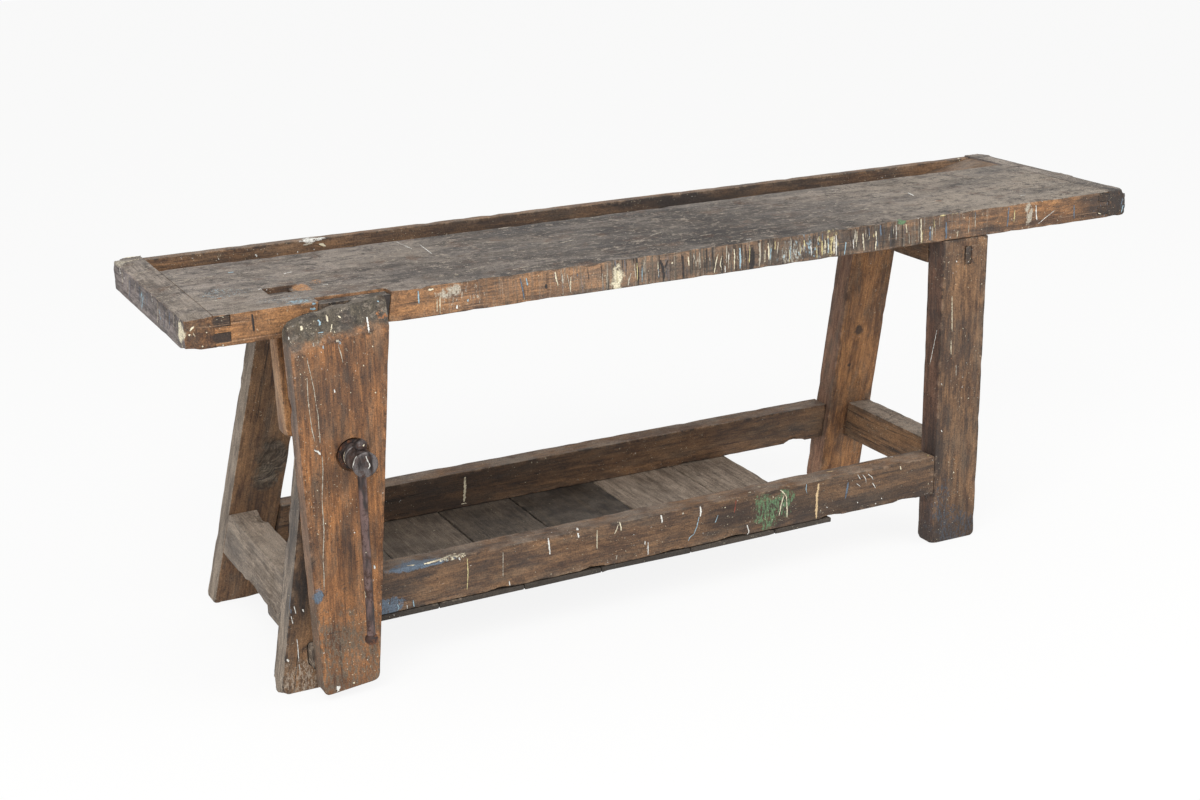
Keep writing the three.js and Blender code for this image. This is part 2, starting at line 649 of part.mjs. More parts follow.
function nailShape(board, y, grow) {
  const length = NAIL_LENGTH + grow;
  const head = [NAIL_HEAD + 2 * grow, NAIL_HEAD_HEIGHT + grow];
  const profile = fastenerProfile(NAIL_DIAMETER + 2 * grow, ...head, length);
  const upward = profile.map(([radius, height]) => [radius, length - height]).reverse();
  const underside = STRETCHER_BOTTOM - FIT - SHELF_THICK;
  return turnedZ(upward, board.middle, y, underside, FASTENER_SIDES);
}

function shelfBoard(board) {
  const top = STRETCHER_BOTTOM - FIT;
  let wood = solid(box(board.left, board.right, 0, SHELF_DEPTH, top - SHELF_THICK, top));
  for (const [end, y] of [["front", NAIL_FRONT_Y], ["rear", NAIL_REAR_Y]]) {
    wood = cut(wood, nailShape(board, y, FIT));
    piece("shelf_nail_" + end + "_" + board.number, solid(nailShape(board, y, 0)), "rusty_iron");
  }
  piece("shelf_board_" + board.number, wood, "shelf_wood");
}

// Leg vise: chop, parallel guide, garter plate, screw, washer, nut and tommy bar
function guideBar(grow, y0, y1) {
  const x0 = GUIDE_X - grow;
  const x1 = GUIDE_X + GUIDE_WIDTH + grow;
  const z0 = GUIDE_Z - grow;
  const z1 = GUIDE_Z + GUIDE_HEIGHT + grow;
  const radius = GUIDE_EDGE_RADIUS;
  const corners = [[x0, z0], [x1, z0], [x1, z1], [x0, z1]];
  return sweepY(roundedOutline(corners.map((corner) => [...corner, radius])), y0, y1);
}

function guideTenon(grow) {
  const x = GUIDE_X + GUIDE_TENON_OFFSET;
  const y = [CHOP_BACK - GUIDE_TENON_LENGTH + FIT - grow, CHOP_BACK + PAST];
  const z = [GUIDE_Z + FIT - grow, GUIDE_Z + GUIDE_HEIGHT - FIT + grow];
  return box(x - grow, x + GUIDE_TENON_WIDTH + grow, ...y, ...z);
}

function parallelGuide() {
  const guide = join(solid(guideBar(0, CHOP_BACK + FIT, GUIDE_TAIL)), guideTenon(0));
  piece("parallel_guide", guide, "oiled_oak");
}

function garterPlace(grow) {
  const half = GARTER_WIDTH / 2 + grow;
  const low = SCREW_Z - GARTER_HEIGHT / 2 - grow;
  const high = SCREW_Z + GARTER_HEIGHT / 2 + grow;
  return [SCREW_X - half, SCREW_X + half, CHOP_BACK - GARTER_THICK - grow, CHOP_BACK, low, high];
}

const garterScrewPlaces = [-1, 1].map((side) => SCREW_X + (side * GARTER_SCREW_SPACING) / 2);
const garterScrewZ = SCREW_Z + GARTER_HEIGHT / 2 - WOOD_SCREW_HEAD;

// A wood screw that is driven along -Y, with the top of its head at y
function woodScrew(x, y, z, length, grow) {
  const head = WOOD_SCREW_HEAD + 2 * grow;
  const height = WOOD_SCREW_HEAD_HEIGHT + grow;
  const profile = fastenerProfile(WOOD_SCREW_DIAMETER + 2 * grow, head, height, length + grow);
  const inward = profile.map(([radius, distance]) => [radius, length + grow - distance]).reverse();
  return turnedY(inward, x, y, z, FASTENER_SIDES);
}

function garterScrewShape(x, grow) {
  return woodScrew(x, CHOP_BACK, garterScrewZ, GARTER_SCREW_LENGTH, grow);
}

function garter() {
  let plate = solid(box(...garterPlace(0)));
  const slot = SCREW_CORE_DIAMETER / 2 + SCREW_CLEARANCE;
  const through = [CHOP_BACK - GARTER_THICK - PAST, CHOP_BACK + PAST];
  plate = cut(plate, box(SCREW_X - slot, SCREW_X + slot, ...through, SCREW_Z - GARTER_HEIGHT, SCREW_Z));
  const round = rodProfile(2 * slot, -PAST, GARTER_THICK + PAST);
  plate = cut(plate, turnedY(round, SCREW_X, CHOP_BACK, SCREW_Z, ROUND_SIDES));
  garterScrewPlaces.forEach((x, index) => {
    plate = cut(plate, garterScrewShape(x, FIT));
    piece("garter_screw_" + (index + 1), solid(garterScrewShape(x, 0)), "rusty_iron");
  });
  piece("screw_garter", plate, "dark_steel");
}

function viseChop() {
  const leftX = SCREW_X - CHOP_HEAD_LEFT;
  const rightX = SCREW_X + CHOP_HEAD_RIGHT;
  const rightZ = BENCH_HEIGHT;
  const leftZ = rightZ - CHOP_TOP_FALL;
  const outline = roundedOutline([
    [SCREW_X - CHOP_FOOT_LEFT, CHOP_FLOOR_GAP, CHOP_FOOT_RADIUS],
    [SCREW_X + CHOP_FOOT_RIGHT, CHOP_FLOOR_GAP + CHOP_FOOT_RISE, CHOP_FOOT_RADIUS],
    [rightX, rightZ, CHOP_CORNER_RADIUS],
    [leftX, leftZ, CHOP_SHOULDER_RADIUS],
  ]);
  let chop = solid(sweepY(outline, CHOP_FRONT, CHOP_BACK));
  const slope = (rightZ - leftZ) / (rightX - leftX);
  const wear = [
    [CHOP_FRONT - PAST, leftZ - CHOP_BEVEL_DROP * (1 + PAST / CHOP_BEVEL_DEPTH)],
    [CHOP_FRONT + CHOP_BEVEL_DEPTH, leftZ],
    [CHOP_FRONT + CHOP_BEVEL_DEPTH, leftZ + PAST],
    [CHOP_FRONT - PAST, leftZ + PAST],
  ];
  const tilt = new THREE.Matrix4().makeShear(0, slope, 0, 0, 0, 0);
  const wedge = sweepX(wear, -PAST, rightX - leftX + PAST).applyMatrix4(tilt);
  chop = cut(chop, wedge.translate(leftX, 0, 0));
  const bore = rodProfile(SCREW_DIAMETER + 2 * SCREW_CLEARANCE, -PAST, CHOP_THICK + PAST);
  chop = cut(chop, turnedY(bore, SCREW_X, CHOP_BACK, SCREW_Z, ROUND_SIDES));
  const recess = rodProfile(RECESS_DIAMETER, -RECESS_DEPTH, PAST);
  chop = cut(chop, turnedY(recess, SCREW_X, CHOP_FRONT, SCREW_Z, ROUND_SIDES));
  const [x0, x1, y0, y1, z0, z1] = garterPlace(FIT);
  chop = cut(chop, box(x0, x1, y0, y1 + PAST, z0, z1));
  for (const x of garterScrewPlaces) chop = cut(chop, garterScrewShape(x, FIT));
  chop = cut(chop, guideTenon(FIT));
  piece("vise_chop", chop, "chop_wood");
}

// The right-hand thread: a rod whose surface rises and falls along a helix of one turn for each lead
function threadedRod(start, end) {
  const length = end - start;
  const rows = Math.round((length / SCREW_LEAD) * THREAD_ROWS_PER_TURN);
  const rod = new THREE.CylinderGeometry(1, 1, length, THREAD_SIDES, rows);
  const position = rod.attributes.position;
  const middle = (SCREW_DIAMETER + SCREW_CORE_DIAMETER) / 4;
  const rise = (SCREW_DIAMETER - SCREW_CORE_DIAMETER) / 4;
  for (let i = 0; i < position.count; i += 1) {
    const [x, y, z] = [position.getX(i), position.getY(i), position.getZ(i)];
    const reach = Math.hypot(x, z);
    const turn = (2 * Math.PI * y) / SCREW_LEAD + Math.atan2(z, x);
    const wave = THREE.MathUtils.clamp(THREAD_FLATNESS * Math.cos(turn), -1, 1);
    const stretch = reach > WELD ? (middle + rise * wave) / reach : 0;
    position.setXYZ(i, x * stretch, y, z * stretch);
  }
  return rod.translate(SCREW_X, (start + end) / 2, SCREW_Z);
}

function viseScrew() {
  const seat = -RECESS_DEPTH + WASHER_THICK + 2 * FIT;
  const neck = SCREW_DIAMETER / 2;
  const core = SCREW_CORE_DIAMETER / 2;
  const head = HEAD_DIAMETER / 2;
  const rim = HEAD_RIM_DIAMETER / 2;
  const groove = HEAD_GROOVE_DIAMETER / 2;
  const grooveStart = HEAD_COLLAR_LENGTH;
  const grooveEnd = grooveStart + HEAD_GROOVE_LENGTH;
  const rimStart = HEAD_LENGTH - HEAD_RIM_LENGTH;
  const garterFront = -CHOP_THICK + GARTER_THICK + GARTER_CLEARANCE;
  const garterBack = -CHOP_THICK - GARTER_CLEARANCE;
  const profile = [
    [0, garterBack - PAST],
    [core, garterBack - PAST],
    [core, garterFront],
    [neck, garterFront],
    [neck, seat],
    [head, seat],
    [head, grooveStart],
    [groove, grooveStart + HEAD_CHAMFER / 2],
    [groove, grooveEnd - HEAD_CHAMFER / 2],
    [head, grooveEnd],
    [head, rimStart],
    [rim, rimStart + HEAD_CHAMFER / 2],
    [rim, HEAD_LENGTH - HEAD_CHAMFER],
    [rim - HEAD_CHAMFER, HEAD_LENGTH],
    [0, HEAD_LENGTH],
  ];
  let screw = solid(turnedY(profile, SCREW_X, CHOP_FRONT, SCREW_Z, ROUND_SIDES));
  screw = join(screw, threadedRod(CHOP_FRONT - garterBack, SCREW_TAIL));
  const hole = rodProfile(BAR_DIAMETER + 2 * BAR_CLEARANCE, -HEAD_RIM_DIAMETER, HEAD_RIM_DIAMETER);
  screw = cut(screw, turnedZ(hole, SCREW_X, BAR_Y, SCREW_Z, BAR_SIDES));
  piece("vise_screw", screw, "dark_steel");
}

function screwWasher() {
  const inner = SCREW_DIAMETER / 2 + SCREW_CLEARANCE;
  const outer = WASHER_DIAMETER / 2;
  const back = -RECESS_DEPTH + FIT;
  const front = back + WASHER_THICK;
  const profile = [[inner, back], [outer, back], [outer, front], [inner, front], [inner, back]];
  piece("screw_washer", solid(turnedY(profile, SCREW_X, CHOP_FRONT, SCREW_Z, ROUND_SIDES)), "rusty_iron");
}

const nutScrewPlaces = [-1, 1].map((side) => SCREW_X + (side * NUT_SCREW_SPACING) / 2);
const nutFace = LEG_DEPTH + FIT + NUT_PLATE_THICK;

function nutScrewShape(x, grow) {
  return woodScrew(x, nutFace, SCREW_Z, NUT_SCREW_LENGTH, grow);
}

function screwNut() {
  const half = NUT_WIDTH / 2;
  const x = [SCREW_X - half, SCREW_X + half];
  const z = [SCREW_Z - NUT_BOSS_DIAMETER / 2, SCREW_Z + NUT_BOSS_DIAMETER / 2];
  let nut = solid(box(...x, LEG_DEPTH + FIT, nutFace, ...z));
  const boss = rodProfile(NUT_BOSS_DIAMETER, -NUT_BOSS_LENGTH, NUT_PLATE_THICK / 2);
  nut = join(nut, turnedY(boss, SCREW_X, nutFace, SCREW_Z, ROUND_SIDES));
  const hole = SCREW_DIAMETER + 2 * SCREW_CLEARANCE;
  const bore = rodProfile(hole, -NUT_BOSS_LENGTH - PAST, NUT_PLATE_THICK + PAST);
  nut = cut(nut, turnedY(bore, SCREW_X, nutFace, SCREW_Z, ROUND_SIDES));
  nutScrewPlaces.forEach((place, index) => {
    nut = cut(nut, nutScrewShape(place, FIT));
    piece("nut_screw_" + (index + 1), solid(nutScrewShape(place, 0)), "rusty_iron");
  });
  piece("screw_nut", nut, "rusty_iron");
}

// The tommy bar hangs by its upper knob, and each knob sits on a spigot at its end
function tommyBar() {
  const radius = BAR_DIAMETER / 2;
  const spigot = KNOB_SPIGOT_DIAMETER / 2;
  const knobSeats = [BAR_TOP + KNOB_HEIGHT - BAR_LENGTH + KNOB_HEIGHT, BAR_TOP];
  const [low, high] = [knobSeats[0] + FIT, knobSeats[1] - FIT];
  const profile = [
    [0, low - KNOB_SPIGOT_LENGTH],
    [spigot, low - KNOB_SPIGOT_LENGTH],
    [spigot, low],
    [radius, low],
    [radius, high],
    [spigot, high],
    [spigot, high + KNOB_SPIGOT_LENGTH],
    [0, high + KNOB_SPIGOT_LENGTH],
  ];
  piece("tommy_bar", solid(turnedZ(profile, SCREW_X, BAR_Y, 0, BAR_SIDES)), "dark_steel");
  tommyKnob("lower_bar_knob", knobSeats[0], -1);
  tommyKnob("upper_bar_knob", knobSeats[1], 1);
}

// A knob like a flattened ball, with a flat seat and a blind bore for the spigot
function tommyKnob(name, seat, direction) {
  const bore = KNOB_SPIGOT_DIAMETER / 2 + FIT;
  const depth = KNOB_SPIGOT_LENGTH + FIT;
  const seatAngle = Math.acos(KNOB_SEAT_DIAMETER / KNOB_DIAMETER);
  const rise = KNOB_HEIGHT / (1 + Math.sin(seatAngle));
  const outside = Array.from({ length: KNOB_STEPS + 1 }, (_, step) => {
    const angle = -seatAngle + ((seatAngle + Math.PI / 2) * step) / KNOB_STEPS;
    const radius = step < KNOB_STEPS ? (KNOB_DIAMETER / 2) * Math.cos(angle) : 0;
    return [radius, rise * (Math.sin(seatAngle) + Math.sin(angle))];
  });
  const profile = [[0, depth], [bore, depth], [bore, 0], ...outside];
  const placed = profile.map(([radius, height]) => [radius, direction * height]);
  if (direction < 0) placed.reverse();
  piece(name, solid(turnedZ(placed, SCREW_X, BAR_Y, seat, BAR_SIDES)), "rusty_iron");
}

function planingStop() {
  const top = BENCH_HEIGHT - STOP_SINK;
  piece("planing_stop", solid(stopShape(0, top - STOP_LENGTH, top)), "pale_wood");
}

// Assembly
topSlab();
rearRail();
trayBottom();
trayRamp();
frontLeg(leftTrestle, "vise_leg", "dusty_oak");
frontLeg(rightTrestle, "right_front_leg", "oiled_oak");
for (const trestle of [leftTrestle, rightTrestle]) {
  rearLeg(trestle);
  topBearer(trestle);
  sideStretcher(trestle);
}
longStretcher(frontRail);
longStretcher(rearRailLow);
shelfBoards.forEach(shelfBoard);
coachBolts.forEach(coachBolt);
planingStop();
viseChop();
parallelGuide();
garter();
viseScrew();
screwWasher();
screwNut();
tommyBar();

export default bench;
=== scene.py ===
"""A joiner's bench of old oak with a leg vise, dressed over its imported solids.

Metres, +Z up, X along the bench, and the worker stands on the -Y side.
"""

import json
import math
import random
from dataclasses import dataclass

import bmesh
import bpy
from bpy.props import FloatProperty, FloatVectorProperty, IntProperty, PointerProperty
from mathutils import Matrix, Vector, noise
from mathutils.bvhtree import BVHTree

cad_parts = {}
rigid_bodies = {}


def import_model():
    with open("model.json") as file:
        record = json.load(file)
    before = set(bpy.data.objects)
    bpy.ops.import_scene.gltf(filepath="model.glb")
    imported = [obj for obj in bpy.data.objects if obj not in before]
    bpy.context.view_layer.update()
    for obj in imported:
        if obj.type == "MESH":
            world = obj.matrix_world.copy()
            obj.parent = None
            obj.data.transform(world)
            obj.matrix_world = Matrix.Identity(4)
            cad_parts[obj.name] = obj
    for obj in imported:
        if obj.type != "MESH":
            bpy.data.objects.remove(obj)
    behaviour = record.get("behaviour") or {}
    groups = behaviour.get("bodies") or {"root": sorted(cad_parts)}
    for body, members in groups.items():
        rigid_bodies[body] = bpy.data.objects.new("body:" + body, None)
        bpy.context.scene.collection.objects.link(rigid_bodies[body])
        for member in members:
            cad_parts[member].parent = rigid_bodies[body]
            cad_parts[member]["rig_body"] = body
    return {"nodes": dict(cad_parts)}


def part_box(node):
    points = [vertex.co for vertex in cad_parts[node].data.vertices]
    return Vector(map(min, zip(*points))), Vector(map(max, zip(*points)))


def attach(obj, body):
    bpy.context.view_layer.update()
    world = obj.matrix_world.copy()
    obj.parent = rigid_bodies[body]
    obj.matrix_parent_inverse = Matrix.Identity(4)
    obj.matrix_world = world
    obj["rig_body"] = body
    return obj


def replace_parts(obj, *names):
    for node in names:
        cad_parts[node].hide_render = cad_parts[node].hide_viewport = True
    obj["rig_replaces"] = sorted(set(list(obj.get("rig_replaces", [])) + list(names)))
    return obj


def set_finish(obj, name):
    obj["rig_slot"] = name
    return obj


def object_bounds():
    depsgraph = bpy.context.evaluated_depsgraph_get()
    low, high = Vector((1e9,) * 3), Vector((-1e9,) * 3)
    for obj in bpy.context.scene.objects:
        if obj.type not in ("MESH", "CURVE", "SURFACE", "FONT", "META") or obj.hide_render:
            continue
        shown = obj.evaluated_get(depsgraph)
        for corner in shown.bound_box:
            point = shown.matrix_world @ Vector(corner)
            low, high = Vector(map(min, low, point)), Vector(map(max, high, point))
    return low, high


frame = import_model()
CAD_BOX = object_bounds()

bl_info = {
    "name": "Joiner's Bench",
    "version": (1, 0, 0),
    "blender": (4, 5, 0),
    "location": "3D View > Sidebar > Bench",
    "description": "Builds a worn oak bench with a tool tray, a shelf and a leg vise",
    "category": "Object",
}

UP = Vector((0, 0, 1))
ALONG = Vector((1, 0, 0))
ACROSS = Vector((0, 1, 0))

# The left trestle leans along the bench, and both rear legs splay backwards.
LEAN = 0.166
SPLAY = 0.2
LEANING = Vector((LEAN, 0, 1)).normalized()
SPLAYED = Vector((0, -SPLAY, 1)).normalized()
LEANING_AND_SPLAYED = Vector((LEAN, -SPLAY, 1)).normalized()

# Faces and edges of the bench that the marks are placed by: the top's front, back, upper face, underside,
# middle height and right end, the chop's face, the underside of the stretchers, the front legs' back, the
# right legs' sides and the caps' fingers.
FRONT = -0.2065
BACK = 0.3235
TOP = 0.775
UNDERSIDE = 0.714
MIDDLE = 0.745
END = 1.1
CHOP_FACE = -0.2755
STRETCHER_FOOT = 0.124
FRONT_LEG_BACK = -0.1505
RIGHT_LEG_SIDES = (0.58, 0.701)
FINGER_PLACES = (-1.027, 1.027)

# The chop's head: how fast its rough top rises along the bench, and the place it is counted from.
HEAD_SLOPE = 0.13
HEAD_LEFT = -0.92

# The vise screw's thread: (share of the lead, 0 at the root or 1 at the crest), and the steps in one turn.
THREAD_PROFILE = ((0.0, 0), (0.12, 1), (0.38, 1), (0.5, 0), (1.0, 0))
THREAD_STEPS = 24

# Small drips on the front edge, in mm: the stretch and its thickest place, where they start, how far they
# run, their lowest point and their width.
DRIP_SEED = 11
DRIP_STRETCH = (-420, 780, 180)
DRIP_START = (745, 772)
DRIP_LENGTH = (6, 38)
DRIP_LOWEST = 716
DRIP_WIDTH = (1.2, 3.2)
DRIP_TONES = ("dull", "dull", "dull", "cream", "white", "slate", "yellow", "black")

# The stage: the floor, the two lamps, and the camera where the photographer stood, turned in radians.
FLOOR_RADIUS = 14
LAMP_WIDTH = 2.6
LAMP_AIM = Vector((0, 0, 0.45))
KEY_PLACE = (-2.4, -2.6, 3.2)
FILL_PLACE = (2.6, -2.4, 2.4)
CAMERA_PLACE = (-1.8693, -3.3594, 1.6467)
CAMERA_YAW = 0.4734
CAMERA_PITCH = 0.3159
CAMERA_ROLL = -0.0159
CAMERA_SHIFT = (-0.0053, -0.0007)
SENSOR_WIDTH = 36

# The photo's size in pixels, and the steps towards the place that a line of sight passes closely.
PHOTO_SIZE = (1200, 800)
SIGHT_STEPS = 12

# Places along the top's front edge that were knocked: how far along, how wide and how deep, in metres.
SLAB_KNOCKS = tuple(
    ((x, FRONT, TOP), reach, depth)
    for x, reach, depth in (
        (-1.0, 0.03, 0.004), (-0.66, 0.03, 0.006), (-0.55, 0.03, 0.004), (-0.45, 0.04, 0.005),
        (-0.36, 0.03, 0.006), (-0.28, 0.03, 0.007), (-0.19, 0.03, 0.005), (-0.1, 0.05, 0.006),
        (0.0, 0.03, 0.005), (0.06, 0.03, 0.007), (0.2, 0.05, 0.006), (0.33, 0.03, 0.008),
        (0.4, 0.03, 0.006), (0.48, 0.04, 0.005), (0.62, 0.03, 0.006), (0.75, 0.03, 0.004),
        (0.9, 0.04, 0.004),
    )
)

# The left end cap's front corner and its outer edge, rubbed from the rear to the front.
LEFT_CAP_KNOCKS = (
    ((-END, FRONT, TOP), 0.05, 0.009),
    ((-END, FRONT, UNDERSIDE), 0.03, 0.009),
    *(((-END, y, TOP), 0.05, 0.009) for y in (0.22, 0.17, 0.12, 0.07, 0.02, -0.03, -0.08, -0.13)),
)


def cut_corner(point, outward, depth):
    """A corner that is rubbed off: a point, the way the cut faces and how deep it goes."""
    return point, Vector(outward).normalized(), depth


def cap_corners(end):
    """The corners of an end cap at the rear, and the edge and the front corner of the right one."""
    out = math.copysign(1, end)
    rear = (
        cut_corner((end, BACK, MIDDLE), (out, 1, 0), 0.010),
        cut_corner((end, BACK, TOP), (out, 1, 1), 0.014),
    )
    if end < 0:
        return rear
    return (
        *rear,
        cut_corner((end, 0.0, TOP), (out, 0, 1), 0.008),
        cut_corner((end, FRONT, MIDDLE), (out, -1, 0), 0.008),
        cut_corner((end, FRONT, TOP), (out, -1, 1), 0.014),
        cut_corner((end, FRONT, UNDERSIDE), (out, -1, -1), 0.011),
    )


def foot_corners(left, right, front, back, depth=0.007):
    """The corners of a leg's foot, rubbed off on the floor."""
    sides = (left, -1), (right, 1)
    faces = (front, -1), (back, 1)
    return tuple(
        cut_corner((x, y, 0.0), (to_x, to_y, -1), depth) for x, to_x in sides for y, to_y in faces
    )


